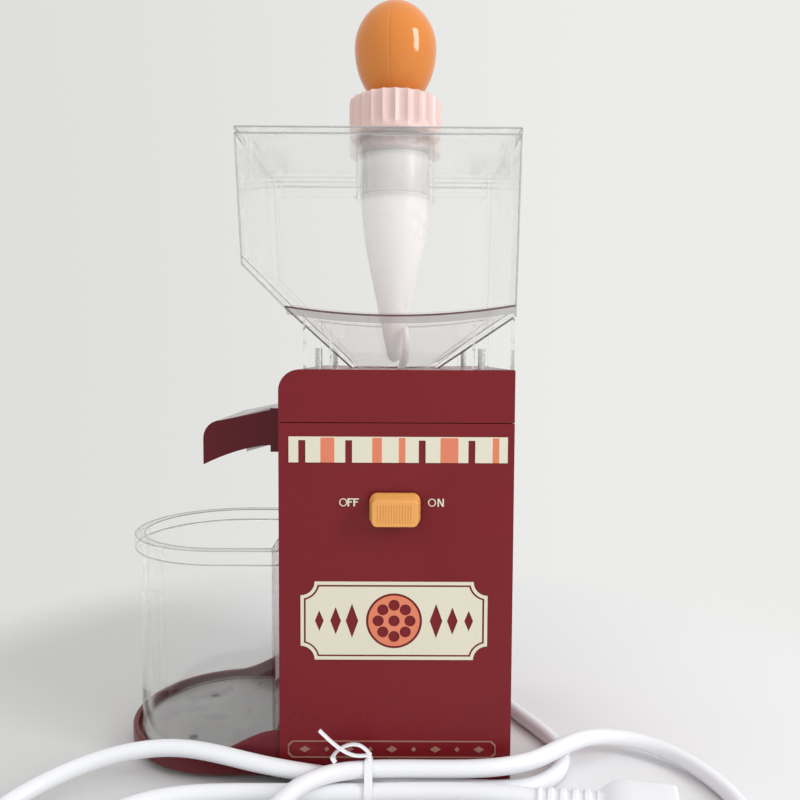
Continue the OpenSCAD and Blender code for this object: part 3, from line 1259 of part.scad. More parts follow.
rubber_feet();
base_plate();
base_screws();
housing();
rear_cover();
rear_screws();
jar_tray();
tray_screws();
tray_pad();
jar();
stripe_band();
stripe_bars();
front_plaque();
plaque_rosette();
bottom_strip();
switch_legend();
switch_knob();
switch_body();
top_cover();
hopper();
hopper_screws();
hopper_lid();
pusher_tube();
pusher_ring();
pusher_knob();
chute_hood();
deck_plate();
deck_screws();
mill_cup();
fixed_burr();
rotor_burr();
sweeper_disc();
agitator_arm();
shaft_seal();
output_shaft();
output_bearings();
output_gear();
compound_gear();
compound_axle();
motor_pinion();
gearbox_plate();
gearbox_posts();
motor_can();
motor_end_cap();
motor_magnets();
armature_core();
armature_coils();
commutator();
carbon_brushes();
motor_shaft();
motor_screws();
cooling_fan();
rectifier_board();
micro_switch();
interlock_pin();
cord_gland();
power_cord();
plug_body();
plug_pins();
cord_tie();
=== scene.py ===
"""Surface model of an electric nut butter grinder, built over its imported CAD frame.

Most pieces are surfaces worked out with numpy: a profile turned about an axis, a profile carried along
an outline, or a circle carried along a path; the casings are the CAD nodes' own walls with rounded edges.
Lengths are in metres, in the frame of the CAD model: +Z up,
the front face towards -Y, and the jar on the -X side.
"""
import json
import math

import bmesh
import bpy
import numpy as np
from bpy.props import FloatProperty, FloatVectorProperty, IntProperty, PointerProperty
from mathutils import Matrix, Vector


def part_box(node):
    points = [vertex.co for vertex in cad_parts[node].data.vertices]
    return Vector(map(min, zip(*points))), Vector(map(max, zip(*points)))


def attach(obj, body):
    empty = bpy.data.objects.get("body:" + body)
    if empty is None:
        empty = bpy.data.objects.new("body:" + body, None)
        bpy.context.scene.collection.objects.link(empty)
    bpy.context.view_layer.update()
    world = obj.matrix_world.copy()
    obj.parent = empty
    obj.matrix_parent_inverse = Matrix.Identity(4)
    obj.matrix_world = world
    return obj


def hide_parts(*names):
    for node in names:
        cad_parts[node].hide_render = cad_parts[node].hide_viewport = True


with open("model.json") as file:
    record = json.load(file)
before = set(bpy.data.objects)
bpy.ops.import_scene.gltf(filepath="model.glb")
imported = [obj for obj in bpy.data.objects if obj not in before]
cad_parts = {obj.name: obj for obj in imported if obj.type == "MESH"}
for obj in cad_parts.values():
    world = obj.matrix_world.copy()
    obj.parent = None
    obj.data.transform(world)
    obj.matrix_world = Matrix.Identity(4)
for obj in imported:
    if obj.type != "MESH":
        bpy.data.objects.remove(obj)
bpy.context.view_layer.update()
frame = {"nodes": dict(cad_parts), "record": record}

bl_info = {
    "name": "Nut butter grinder",
    "version": (1, 0, 0),
    "blender": (4, 5, 0),
    "location": "3D View > Sidebar > Grinder",
    "description": "Builds the outer surfaces, finishes, mains cord and stage of a nut butter grinder",
    "category": "Object",
}

MM = 0.001
FRONT_LOW, FRONT_HIGH = (np.array(c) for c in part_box("housing"))
MIDDLE_X = (FRONT_LOW[0] + FRONT_HIGH[0]) / 2
FRONT_Y = FRONT_LOW[1]


def spot(x, y, z):
    """A point given in mm from the middle of the housing's front face and the standing surface."""
    return np.array([MIDDLE_X + x * MM, FRONT_Y + y * MM, z * MM])


def node_box(node):
    """Lowest and highest corner of a CAD node as arrays."""
    low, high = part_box(node)
    return np.array(low), np.array(high)


# ---- surfaces

def grid_mesh(name, points, close_u=True, close_v=False, capped=False):
    """A mesh over a grid of points (rows u, columns v, 3).

    Face (i, j) joins point (i, j) with its next ones along u and v; an index wraps where the grid is
    closed. capped closes both ends of v with one flat many-sided face each.
    """
    points = np.asarray(points, float)
    rows, columns = points.shape[:2]
    u = np.arange(rows if close_u else rows - 1)
    v = np.arange(columns if close_v else columns - 1)
    i, j = np.meshgrid(u, v, indexing="ij")
    k, m = (i + 1) % rows, (j + 1) % columns
    faces = np.stack([i * columns + j, k * columns + j, k * columns + m, i * columns + m], -1)
    faces = faces.reshape(-1, 4).tolist()
    if capped:
        ring = np.arange(rows) * columns
        faces += [ring[::-1].tolist(), (ring + columns - 1).tolist()]
    mesh = bpy.data.meshes.new(name)
    mesh.from_pydata(points.reshape(-1, 3).tolist(), [], faces)
    return mesh


def join_meshes(name, meshes):
    """One mesh that holds the faces of several."""
    whole = bmesh.new()
    for mesh in meshes:
        whole.from_mesh(mesh)
        bpy.data.meshes.remove(mesh)
    mesh = bpy.data.meshes.new(name)
    whole.to_mesh(mesh)
    whole.free()
    return mesh


MERGE_DISTANCE = 2e-6
CRISP_ANGLE = 32.0


def finish_mesh(mesh, sharp, outward):
    """Merges doubles, turns the faces outwards and shades smooth, with edges over sharp degrees crisp."""
    work = bmesh.new()
    work.from_mesh(mesh)
    bmesh.ops.remove_doubles(work, verts=work.verts, dist=MERGE_DISTANCE)
    if outward:
        bmesh.ops.recalc_face_normals(work, faces=work.faces)
    work.to_mesh(mesh)
    work.free()
    mesh.shade_smooth()
    mesh.set_sharp_from_angle(angle=math.radians(sharp))


def linked(name, data):
    """A new object in the scene that holds a mesh, lamp or camera."""
    holder = bpy.data.objects.new(name, data)
    bpy.context.scene.collection.objects.link(holder)
    return holder


def add_piece(mesh, body, slot, replaces=(), finish=None, sharp=CRISP_ANGLE, outward=True):
    """Links a finished mesh as an object that rides on a body and takes its finish from a slot.

    finish names the material, where it isn't the slot's own.
    """
    finish_mesh(mesh, sharp, outward)
    piece = linked(mesh.name, mesh)
    mesh.materials.append(FINISHES[finish or slot])
    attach(piece, body)
    if replaces:
        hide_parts(*replaces)
    return piece


def arc(cx, cy, r, start, end, steps):
    """Points (n, 2) of a circular arc: centre plus r times (cos, sin) of angles in degrees."""
    a = np.radians(np.linspace(start, end, steps + 1))
    return np.stack([cx + r * np.cos(a), cy + r * np.sin(a)], 1)


def turned(profile, centre, steps=96, flute=None):
    """A profile (n, 2) of radius and height turned about the vertical line through centre.

    Point = centre + (r cos a, r sin a, z). flute(a, z) gives a factor on r for each angle and height.
    """
    profile = np.asarray(profile, float)
    a = np.linspace(0, 2 * math.pi, steps, endpoint=False)[:, None]
    r, z = profile[:, 0][None, :], profile[:, 1][None, :]
    if flute is not None:
        r = r * flute(a, z)
    x, y = centre[0] + r * np.cos(a), centre[1] + r * np.sin(a)
    return np.stack([x, y, np.broadcast_to(z, x.shape) + centre[2]], -1)


BEAD_UP = (0.31, 0.9, 0.3)  # a direction that no bead runs along


def rod(path, radius):
    """A thin round bead along a path, with flat ends."""
    return grid_mesh("bead", swept(path, radius, sides=8, up=BEAD_UP), capped=True)


def painted_shade_beads(name, beads, body, finish="clear_edge"):
    """Joins beads into one piece of painted shade lines along clear plastic's edges, which rides on a body.
    """
    add_piece(join_meshes(name, beads), body, "clear_plastic", finish=finish, sharp=60)


def outline_normals(outline):
    """Outward unit normals of a closed plan outline that runs anticlockwise, from its neighbours."""
    way = np.roll(outline, -1, 0) - np.roll(outline, 1, 0)
    way /= np.linalg.norm(way, axis=1)[:, None]
    return np.stack([way[:, 1], -way[:, 0]], 1)


def carried(outline, profile, height=None):
    """A profile (m, 2) of outward offset and height carried round a closed plan outline (n, 2).

    Point = (outline + offset times outward normal, z). z is the profile's, or height(x, y, z) of it.
    """
    outline = np.asarray(outline, float)
    profile = np.asarray(profile, float)
    normal = outline_normals(outline)
    plan = outline[:, None, :] + profile[None, :, 0:1] * normal[:, None, :]
    z = np.broadcast_to(profile[None, :, 1], plan.shape[:2])
    if height is not None:
        z = height(plan[..., 0], plan[..., 1], z)
    return np.concatenate([plan, z[..., None]], -1)


def rounded_rectangle(low, high, r, steps=8):
    """Anticlockwise outline of a rectangle between two corner points, with corner arcs of radius r."""
    (x0, y0), (x1, y1) = low + r, high - r
    corners = [(x1, y1, 0), (x0, y1, 90), (x0, y0, 180), (x1, y0, 270)]
    return np.concatenate([arc(cx, cy, r, a, a + 90, steps) for cx, cy, a in corners])


def spline(points, steps):
    """Uniform cubic B-spline over control points, lengthened by one mirrored point at each end.

    Point(t) = ((1-t)^3 a + (3t^3-6t^2+4) b + (-3t^3+3t^2+3t+1) c + t^3 d) / 6 for each four in a row.
    """
    p = np.asarray(points, float)
    p = np.concatenate([[2 * p[0] - p[1]], p, [2 * p[-1] - p[-2]]])
    t = np.linspace(0, 1, steps, endpoint=False)[None, :, None]
    a, b, c, d = (p[k:len(p) - 3 + k][:, None, :] for k in range(4))
    line = ((1 - t) ** 3 * a + (3 * t ** 3 - 6 * t ** 2 + 4) * b
            + (-3 * t ** 3 + 3 * t ** 2 + 3 * t + 1) * c + t ** 3 * d) / 6
    end = (p[-3] + 4 * p[-2] + p[-1]) / 6
    return np.concatenate([line.reshape(-1, 3), end[None]])


def swept(path, radius, sides=16, up=(0, 0, 1), flat=1.0):
    """A circle of the given radius, or one radius a point, carried along a path (n, 3).

    Point = path + radius (cos a side + flat sin a rise), where side = way x up and rise = side x way.
    """
    path = np.asarray(path, float)
    way = np.gradient(path, axis=0)
    way /= np.linalg.norm(way, axis=1)[:, None]
    side = np.cross(way, np.asarray(up, float))
    side /= np.linalg.norm(side, axis=1)[:, None]
    rise = np.cross(side, way)
    a = np.linspace(0, 2 * math.pi, sides, endpoint=False)[:, None, None]
    r = np.broadcast_to(np.asarray(radius, float), (len(path),))[None, :, None]
    return path[None] + r * (np.cos(a) * side[None] + flat * np.sin(a) * rise[None])


# ---- shader groups

def set_inputs(tree, node, values):
    """Gives each named input of a node its value, or a link where the value is a socket."""
    for key, value in values.items():
        if isinstance(value, bpy.types.NodeSocket):
            tree.links.new(value, node.inputs[key])
        else:
            node.inputs[key].default_value = value


def skin_group(name, defaults):
    """A shader group that takes a Place and the defaults, and puts out Colour, Roughness and Height.

    A default of four numbers makes a colour input, one of three a vector and a single number a value.
    Returns the group, the sockets that bring its inputs in, and the node that takes its outputs.
    """
    kinds = {1: "NodeSocketFloat", 3: "NodeSocketVector", 4: "NodeSocketColor"}
    group = bpy.data.node_groups.new(name, "ShaderNodeTree")
    for label, default in {"Place": (0, 0, 0), **defaults}.items():
        socket = group.interface.new_socket(label, in_out="INPUT", socket_type=kinds[np.size(default)])
        socket.default_value = default
    for label, size in (("Colour", 4), ("Roughness", 1), ("Height", 1)):
        group.interface.new_socket(label, in_out="OUTPUT", socket_type=kinds[size])
    return group, group.nodes.new("NodeGroupInput").outputs, group.nodes.new("NodeGroupOutput")


def add_node(tree, kind, values=None, **settings):
    """A node with its settings and the given input values or links."""
    node = tree.nodes.new(kind)
    for key, value in settings.items():
        setattr(node, key, value)
    set_inputs(tree, node, values or {})
    return node


def noise(tree, place, scale, detail, rough):
    """A socket of soft noise from 0 to 1 over a place."""
    return add_node(tree, "ShaderNodeTexNoise", {
        "Vector": place, "Scale": scale, "Detail": detail, "Roughness": rough}).outputs["Fac"]


def arithmetic(tree, operation, first, second):
    """A socket of the sum, product or such of two values or sockets."""
    return add_node(tree, "ShaderNodeMath", {0: first, 1: second}, operation=operation).outputs[0]


def ramp(tree, source, low, high, start=0.0, end=1.0, soft=False):
    """A socket in which a source between low and high becomes start to end, and stays there beyond.

    soft bends the ramp's two ends.
    """
    return add_node(tree, "ShaderNodeMapRange", {
        "Value": source, "From Min": low, "From Max": high, "To Min": start, "To Max": end},
        interpolation_type="SMOOTHSTEP" if soft else "LINEAR").outputs[0]


def colour_mix(tree, share, first, second):
    """A socket of two colours or colour sockets mixed by a share of the second."""
    first, second = ((*c, 1) if isinstance(c, tuple) else c for c in (first, second))
    return add_node(tree, "ShaderNodeMix", {0: share, 6: first, 7: second}, data_type="RGBA").outputs[2]


def moulded_group():
    """Moulded plastic: colour that drifts softly, roughness in patches and a fine spark-eroded grain."""
    group, inside, outside = skin_group("moulded_skin", {
        "Colour": (0.5, 0.5, 0.5, 1), "Deep colour": (0.4, 0.4, 0.4, 1), "Grain size": 0.0006,
        "Smooth": 0.2, "Rough": 0.3, "Grain": 0.1})
    patches = noise(group, inside["Place"], scale=28, detail=4, rough=0.55)
    wipes = noise(group, inside["Place"], scale=90, detail=5, rough=0.65)
    grain_scale = arithmetic(group, "DIVIDE", 1.0, inside["Grain size"])
    grain = noise(group, inside["Place"], grain_scale, detail=2, rough=0.5)
    set_inputs(group, outside, {
        "Colour": colour_mix(group, patches, inside["Deep colour"], inside["Colour"]),
        "Roughness": ramp(group, wipes, 0.35, 0.68, inside["Smooth"], inside["Rough"]),
        "Height": arithmetic(group, "MULTIPLY", grain, inside["Grain"])})
    return group


def machined_group():
    """Machined metal: fine lines drawn along one axis that break up the gloss, and faint stains."""
    group, inside, outside = skin_group("machined_skin", {
        "Colour": (0.6, 0.6, 0.6, 1), "Stain": (0.4, 0.4, 0.4, 1), "Lines": (1, 1, 12),
        "Smooth": 0.2, "Rough": 0.45})
    stretch = add_node(group, "ShaderNodeVectorMath", {0: inside["Place"], 1: inside["Lines"]},
                       operation="MULTIPLY")
    lines = noise(group, stretch.outputs[0], scale=320, detail=4, rough=0.6)
    spots = noise(group, inside["Place"], scale=140, detail=3, rough=0.5)
    stains = ramp(group, spots, 0.5, 0.75, 0.0, 0.6)
    set_inputs(group, outside, {
        "Colour": colour_mix(group, stains, inside["Colour"], inside["Stain"]),
        "Roughness": ramp(group, lines, 0.3, 0.7, inside["Smooth"], inside["Rough"]),
        "Height": lines})
    return group


GROUPS = {}
FINISHES = {}
STAINED = 0.7  # share of a metal's colour that its stains keep


def shaded(name, group, values, bump, surface):
    """A material whose Principled shader takes colour, roughness and bump from a skin group.

    bump is the Bump node's distance in metres and its strength; surface sets the shader's own sockets.
    """
    material = bpy.data.materials.new(name)
    material.use_nodes = True
    tree = material.node_tree
    place = add_node(tree, "ShaderNodeTexCoord").outputs["Object"]
    skin = add_node(tree, "ShaderNodeGroup", {"Place": place, **values}, node_tree=group).outputs
    relief = add_node(tree, "ShaderNodeBump", {
        "Distance": bump[0], "Strength": bump[1], "Height": skin["Height"]}).outputs[0]
    set_inputs(tree, tree.nodes["Principled BSDF"], {
        "Base Color": skin["Colour"], "Roughness": skin["Roughness"], "Normal": relief, **surface})
    return material


def dimmed(colour, share):
    """A colour socket's four numbers for a share of a colour."""
    return (*(c * share for c in colour), 1)


def plastic(name, colour, deep=0.86, rough=(0.35, 0.5), grain=0.1, bump=(0.0002, 0.2), **surface):
    """Moulded plastic of one colour; deep is the share of it in its darker patches.

    rough is the least and greatest roughness, grain the height of the grain.
    """
    return shaded(name, GROUPS["moulded"], {
        "Colour": (*colour, 1), "Deep colour": dimmed(colour, deep), "Grain": grain,
        "Smooth": rough[0], "Rough": rough[1]}, bump, surface)


def metal(name, colour, lines=(1, 1, 12), rough=(0.18, 0.42)):
    """Machined metal of one colour with lines drawn along the axis that lines stretches."""
    return shaded(name, GROUPS["machined"], {
        "Colour": (*colour, 1), "Stain": dimmed(colour, STAINED), "Lines": lines,
        "Smooth": rough[0], "Rough": rough[1]}, (0.00005, 0.15), {"Metallic": 1.0})


def clear_plastic(name, colour, face_on, edge_on, ior):
    """Thin clear plastic with faint wipe marks: nearly unseen face on, and denser where seen edge on."""
    material = plastic(name, colour, deep=0.985, rough=(0.03, 0.05), grain=0.02,
                       bump=(0.00002, 0.01), **{"Transmission Weight": 1.0, "IOR": ior})
    tree = material.node_tree
    facing = add_node(tree, "ShaderNodeLayerWeight", {"Blend": 0.5}).outputs["Facing"]
    cover = ramp(tree, facing, 0.6, 0.9, face_on, edge_on, soft=True)
    tree.links.new(cover, tree.nodes["Principled BSDF"].inputs["Alpha"])
    return material


def make_finishes(paint):
    """Builds the two skin groups and one material for each finish of the grinder."""
    GROUPS["moulded"] = moulded_group()
    GROUPS["machined"] = machined_group()
    dull = {"Specular IOR Level": 0.25}
    clear = (0.96, 0.965, 0.965)

    def add(make, name, colour, *values, **settings):
        """Makes a finish and keeps it under its name."""
        FINISHES[name] = make(name, tuple(colour), *values, **settings)

    add(plastic, "housing_red", paint.housing, deep=0.92, rough=(0.27, 0.31), grain=0.03, **dull)
    add(plastic, "cover_red", paint.housing, deep=0.92, rough=(0.22, 0.27), grain=0.03, **dull)
    add(plastic, "tray_red", paint.tray, rough=(0.26, 0.38), grain=0.15, **dull)
    add(plastic, "hood_red", paint.hood, rough=(0.1, 0.18), grain=0.03, **dull)
    add(plastic, "foot_rubber", (0.035, 0.035, 0.038), rough=(0.6, 0.8), grain=0.4)
    add(plastic, "grey_pad", (0.40, 0.39, 0.385), deep=0.75, rough=(0.2, 0.45), grain=0.3)
    add(clear_plastic, "clear_plastic", clear, 0.14, 0.68, 1.25)
    add(clear_plastic, "clear_jar", clear, 0.09, 0.6, 1.2)
    # Grey, half-seen lines of painted shade where clear plastic's edges refract.
    add(plastic, "clear_edge", (0.50, 0.49, 0.49), rough=(0.08, 0.15), Alpha=0.5)
    # Dark red lines of painted shade, tinted by the red body behind, along the bowed panel's joints.
    add(plastic, "clear_joint", (0.14, 0.05, 0.075), rough=(0.08, 0.15), Alpha=0.75)
    add(plastic, "pusher_white", (0.93, 0.905, 0.89), deep=0.97, rough=(0.25, 0.35), grain=0.03, Alpha=0.72)
    add(plastic, "ring_pink", (0.77, 0.55, 0.51), rough=(0.28, 0.4))
    add(plastic, "knob_orange", paint.knob, deep=0.93, rough=(0.09, 0.15), grain=0.02,
        **{"Specular IOR Level": 0.45})
    add(plastic, "switch_orange", paint.switch, rough=(0.25, 0.36))
    add(plastic, "print_cream", (0.70, 0.67, 0.53), deep=0.93)
    add(plastic, "print_coral", (0.70, 0.20, 0.105), deep=0.93)
    add(plastic, "print_tan", (0.33, 0.16, 0.11), deep=0.9)
    add(metal, "steel", (0.62, 0.62, 0.64))
    add(metal, "burr_steel", (0.50, 0.50, 0.52), lines=(6, 6, 1), rough=(0.22, 0.5))
    add(metal, "zinc_plate", (0.58, 0.59, 0.60), lines=(1, 8, 1), rough=(0.3, 0.5))
    add(metal, "motor_steel", (0.42, 0.43, 0.45), lines=(1, 1, 10))
    add(metal, "core_steel", (0.30, 0.30, 0.32), lines=(1, 1, 60), rough=(0.3, 0.55))
    add(plastic, "magnet", (0.06, 0.06, 0.065), rough=(0.45, 0.65), grain=0.5)
    add(metal, "copper", (0.60, 0.25, 0.10), lines=(1, 1, 30), rough=(0.15, 0.35))
    add(metal, "brass", (0.60, 0.45, 0.18), lines=(1, 1, 10))
    add(plastic, "nylon", (0.75, 0.72, 0.62), grain=0.15)
    add(plastic, "white_plastic", (0.76, 0.76, 0.73), rough=(0.3, 0.42))
    add(plastic, "black_plastic", (0.02, 0.02, 0.022), grain=0.3)
    add(plastic, "pin_red", (0.6, 0.05, 0.03), rough=(0.3, 0.42))
    add(plastic, "board_green", (0.03, 0.13, 0.05), rough=(0.25, 0.4))
    add(plastic, "cord_white", paint.cord, deep=0.95, rough=(0.3, 0.42), grain=0.06)


def node_slots():
    """The record's material slot of every CAD node, by the node's name."""
    return {part["node"]: part["material_slot"] for part in frame["record"]["subparts"]}


def dress_nodes():
    """Gives every CAD node the finish of its slot in the record."""
    for node, slot in node_slots().items():
        materials = frame["nodes"][node].data.materials
        materials.clear()
        materials.append(FINISHES[slot])


# ---- properties

def colour_choice(name, description, default):
    """A colour that a user can change."""
    return FloatVectorProperty(name=name, description=description, default=default, size=3, subtype="COLOR")


def length_choice(name, description, default, low, high):
    """A length in metres that a user can change."""
    return FloatProperty(name=name, description=description, default=default, min=low, max=high,
                         subtype="DISTANCE", unit="LENGTH")


class GrinderColours(bpy.types.PropertyGroup):
    """Colours of the moulded pieces."""
    housing: colour_choice("Housing", "Red of the housing and cover", (0.178, 0.0095, 0.0145))
    tray: colour_choice("Tray", "Red of the tray under the jar", (0.13, 0.016, 0.022))
    hood: colour_choice("Chute hood", "Dark red of the chute hood", (0.098, 0.005, 0.011))
    knob: colour_choice("Pusher knob", "Orange of the egg-shaped knob", (0.66, 0.215, 0.035))
    switch: colour_choice("Switch knob", "Orange of the switch knob", (0.80, 0.37, 0.095))
    cord: colour_choice("Mains cord", "White of the cord, plug and tie", (0.82, 0.83, 0.86))


class GrinderSizes(bpy.types.PropertyGroup):
    """Sizes that only the surface model has."""
    lens: FloatProperty(name="Lens", description="Focal length of the camera on a 36 mm sensor",
                        default=34.875, min=20, max=100)
    cord_diameter: length_choice("Cord diameter", "Thickness of the mains cord", 0.0072, 0.005, 0.009)
    cord_sides: IntProperty(name="Cord sides", description="Sides of the cord's section",
                            default=20, min=8, max=32)
    flute_depth: length_choice("Flute depth", "Depth of the flutes in the pusher's ring",
                               0.0012, 0.0005, 0.002)
    grip_rings: IntProperty(name="Relief rings", description="Grooves in the plug's strain relief",
                            default=5, min=3, max=8)


def colours():
    """The grinder's colours in this scene."""
    return bpy.context.scene.grinder_colours


def sizes():
    """The grinder's sizes in this scene."""
    return bpy.context.scene.grinder_sizes


# ---- stage

# Name, place in mm, width and height in m, power in W, and whether glossy pieces mirror it.
LAMPS = (
    ("window_lamp", (1150, -650, 800), (0.35, 0.8), 11, True),
    ("fill_lamp", (-300, -1100, 900), (1.3, 1.3), 3.2, False),
    ("top_lamp", (100, 200, 1700), (1.5, 1.5), 3.5, False))
LAMP_AIM = (0, 50, 150)
CAMERA_PLACE = (0.1, -326.1, 186.9)
CAMERA_PITCH, CAMERA_YAW, CAMERA_ROLL = 0.060, -0.004, 0.005
# Seen wall colours: painted shade on the left, painted light on the right.
WALL_LEFT_PAINTED_SHADE, WALL_RIGHT_PAINTED_LIGHT = (0.735, 0.735, 0.72), (0.845, 0.848, 0.825)
WALL_LIGHT = (0.79, 0.79, 0.79)
# Floor colours: painted shade on the left, the floor's own near white on the right.
FLOOR_LEFT_PAINTED_SHADE, FLOOR_RIGHT = (0.60, 0.60, 0.59), (0.74, 0.74, 0.75)
FLOOR_CENTRE = (0, 20, 0)
FLOOR_FADE = (0.25, 0.36)  # metres from the centre at which the floor starts and ends to fade


def soft_lamp(name, place, aim, size, power):
    """A rectangular area lamp at place that faces aim."""
    lamp = bpy.data.lights.new(name, "AREA")
    lamp.shape = "RECTANGLE"
    lamp.size, lamp.size_y = size
    lamp.energy = power
    back = (place - aim) / np.linalg.norm(place - aim)
    side = np.cross((0, 0, 1), back)
    side /= np.linalg.norm(side)
    rise = np.cross(back, side)
    turn = Matrix(np.stack([side, rise, back], 1).tolist()).to_4x4()
    holder = linked(name, lamp)
    holder.matrix_world = Matrix.Translation(place) @ turn
    return holder


def seen_share(tree):
    """A socket that is 1 for camera, glossy and transmission rays and 0 for the rays that only light."""
    path = add_node(tree, "ShaderNodeLightPath").outputs
    share = path["Is Camera Ray"]
    for kind in ("Is Glossy Ray", "Is Transmission Ray"):
        share = arithmetic(tree, "MAXIMUM", share, path[kind])
    return share


def pale_surroundings():
    """World: a pale wall with painted shade to the left and painted light to the right, where it is seen, and
    plain where it lights.
    """
    world = bpy.data.worlds.new("surroundings")
    world.use_nodes = True
    tree = world.node_tree
    place = add_node(tree, "ShaderNodeTexCoord").outputs["Generated"]
    x = add_node(tree, "ShaderNodeSeparateXYZ", {0: place}).outputs["X"]
    # painted shade on the wall's left, painted light on its right
    wall = colour_mix(tree, ramp(tree, x, -0.5, 0.35, soft=True), WALL_LEFT_PAINTED_SHADE, WALL_RIGHT_PAINTED_LIGHT)
    seen = colour_mix(tree, seen_share(tree), WALL_LIGHT, wall)
    tree.links.new(seen, tree.nodes["Background"].inputs["Color"])
    return world


def pale_floor():
    """Floor finish: near white, with painted shade that makes it a little greyer to the left, and fading into
    the wall far from its centre.
    """
    material = bpy.data.materials.new("pale_floor")
    material.use_nodes = True
    tree = material.node_tree
    place = add_node(tree, "ShaderNodeTexCoord").outputs["Object"]
    shift = add_node(tree, "ShaderNodeVectorMath", {0: place, 1: tuple(spot(*FLOOR_CENTRE))},
                     operation="SUBTRACT").outputs[0]
    away = add_node(tree, "ShaderNodeVectorMath", {0: shift}, operation="LENGTH").outputs["Value"]
    gone = arithmetic(tree, "MULTIPLY", ramp(tree, away, *FLOOR_FADE, soft=True), seen_share(tree))
    x = add_node(tree, "ShaderNodeSeparateXYZ", {0: shift}).outputs["X"]
    # painted shade: the floor greyer towards the left
    floor_with_painted_shade = colour_mix(tree, ramp(tree, x, -0.22, 0.05, soft=True), FLOOR_LEFT_PAINTED_SHADE, FLOOR_RIGHT)
    set_inputs(tree, tree.nodes["Principled BSDF"], {
        "Base Color": floor_with_painted_shade, "Roughness": 0.8,
        "Specular IOR Level": 0.2, "Alpha": arithmetic(tree, "SUBTRACT", 1.0, gone)})
    return material


class GRINDER_OT_stage(bpy.types.Operator):
    """Builds the floor, the soft light, the pale surroundings and the camera"""
    bl_idname = "grinder.stage"
    bl_label = "Stage"

    def execute(self, context):
        scene = context.scene
        scene.view_settings.view_transform = "Standard"
        scene.world = pale_surroundings()

        corners = np.array([[[-3, -3, 0], [-3, 5, 0]], [[3, -3, 0], [3, 5, 0]]])
        mesh = grid_mesh("floor", corners, close_u=False)
        mesh.materials.append(pale_floor())
        floor = linked("floor", mesh)

        for name, place, size, power, mirrored in LAMPS:
            soft_lamp(name, spot(*place), spot(*LAMP_AIM), size, power).visible_glossy = mirrored

        camera = bpy.data.cameras.new("camera")
        camera.lens, camera.sensor_width = sizes().lens, 36
        holder = linked("camera", camera)
        level = math.pi / 2 - CAMERA_PITCH
        holder.matrix_world = (Matrix.Translation(spot(*CAMERA_PLACE)) @ Matrix.Rotation(CAMERA_YAW, 4, "Z")
                               @ Matrix.Rotation(level, 4, "X") @ Matrix.Rotation(CAMERA_ROLL, 4, "Z"))
        scene.camera = holder
        return {"FINISHED"}


# ---- mains cord

CORD_ROUTE = (
    (-24, 134, 19), (-24, 158, 19), (-12, 197, 8), (38, 201, 4), (61, 158, 3.6), (54, 112, 3.6),
    (54, 78, 3.6), (66, 52, 3.6), (83, 18, 3.6), (60, -14, 3.6), (22, -6.8, 3.6), (-22, -4.8, 5.2),
    (-60, -7, 12.6), (-92, 1.4, 17.6), (-128, 1, 12.5), (-160, -22, 4.4), (-164, -60, 3.6), (-134, -100, 3.6),
    (-76, -116, 3.6), (-36, -72, 3.6), (-2, -36, 3.6), (34, -46, 3.6), (70, -80, 3.6), (122, -84, 3.6),
    (148, -32, 3.6), (130, 26, 4.6), (87, 29, 10.4), (61, -11, 14.4), (24, -9.6, 11.8), (-12, -8.4, 12.4),
    (-41, -16, 12), (-54, -50, 6), (-68, -83, 3.6), (-104, -87, 3.6), (-130, -49, 3.6), (-104, -11, 3.6),
    (-50, -13.8, 3.8), (4, -13.4, 4.8), (38, -18, 7.5), (58, -23, 7.5))
PLUG_RELIEF = 24 * MM
PLUG_WIDTH = 25 * MM
PLUG_CORNER = 3 * MM
# Distance along the plug's body in mm, and the share of its full section there.
PLUG_SWELL = ((-0.4, 0.52), (1.0, 0.60), (2.6, 0.72), (5.2, 0.86), (8.4, 0.95), (12, 0.99), (17, 0.97),
              (24, 0.985), (28.6, 0.995), (29.6, 0.975), (30, 0.93))


def plug_frame():
    """A function that takes points from the plug's own axes into the model's frame."""
    end, before = spot(*CORD_ROUTE[-1]), spot(*CORD_ROUTE[-2])
    way = (end - before) / np.linalg.norm(end - before)
    axes = np.stack([np.cross((0, 0, 1), way), (0, 0, 1), way])

    def laid(local):
        """Local (across, up, along) becomes the cord's end + across side + up (0, 0, 1) + along way."""
        return end + local @ axes
    return laid


class GRINDER_OT_cord(bpy.types.Operator):
    """Builds the mains cord with its strain relief, plug and twist tie"""
    bl_idname = "grinder.cord"
    bl_label = "Mains cord"

    def execute(self, context):
        radius = sizes().cord_diameter / 2
        route = np.array([spot(*p) for p in CORD_ROUTE])
        line = spline(route, 12)
        skin = grid_mesh("mains_cord", swept(line, radius, sizes().cord_sides), capped=True)
        cord = add_piece(skin, "base", "cord_white", ["power_cord"], sharp=60)

        laid = plug_frame()
        relief = laid(turned(relief_profile(radius, sizes().grip_rings), (0, 0, 0), steps=48))
        parts = [grid_mesh("relief", relief, capped=True),
                 grid_mesh("block", laid(plug_block(route[-1][2])), capped=True)]
        plug = add_piece(join_meshes("mains_plug", parts), "base", "cord_white", ["plug_body"])
        tie = add_piece(twist_tie(), "base", "cord_white", ["cord_tie"])
        return {"FINISHED"}


def relief_profile(radius, rings):
    """Radius and distance along of the ribbed strain relief: a widening cone with even grooves.

    r = cone minus the groove's depth where the ring's wave is low; the wave is a cosine of the distance,
    cut off flat at 0 and 1.
    """
    step, widening, groove = 1.0 * MM, 1.6 * MM, 0.9 * MM
    s = np.linspace(0, 1, 12 * rings + 1)
    wave = np.clip(0.5 + 1.6 * np.cos(2 * math.pi * rings * s), 0, 1)
    return np.stack([radius + step + s * widening - groove * (1 - wave), s * PLUG_RELIEF], 1)


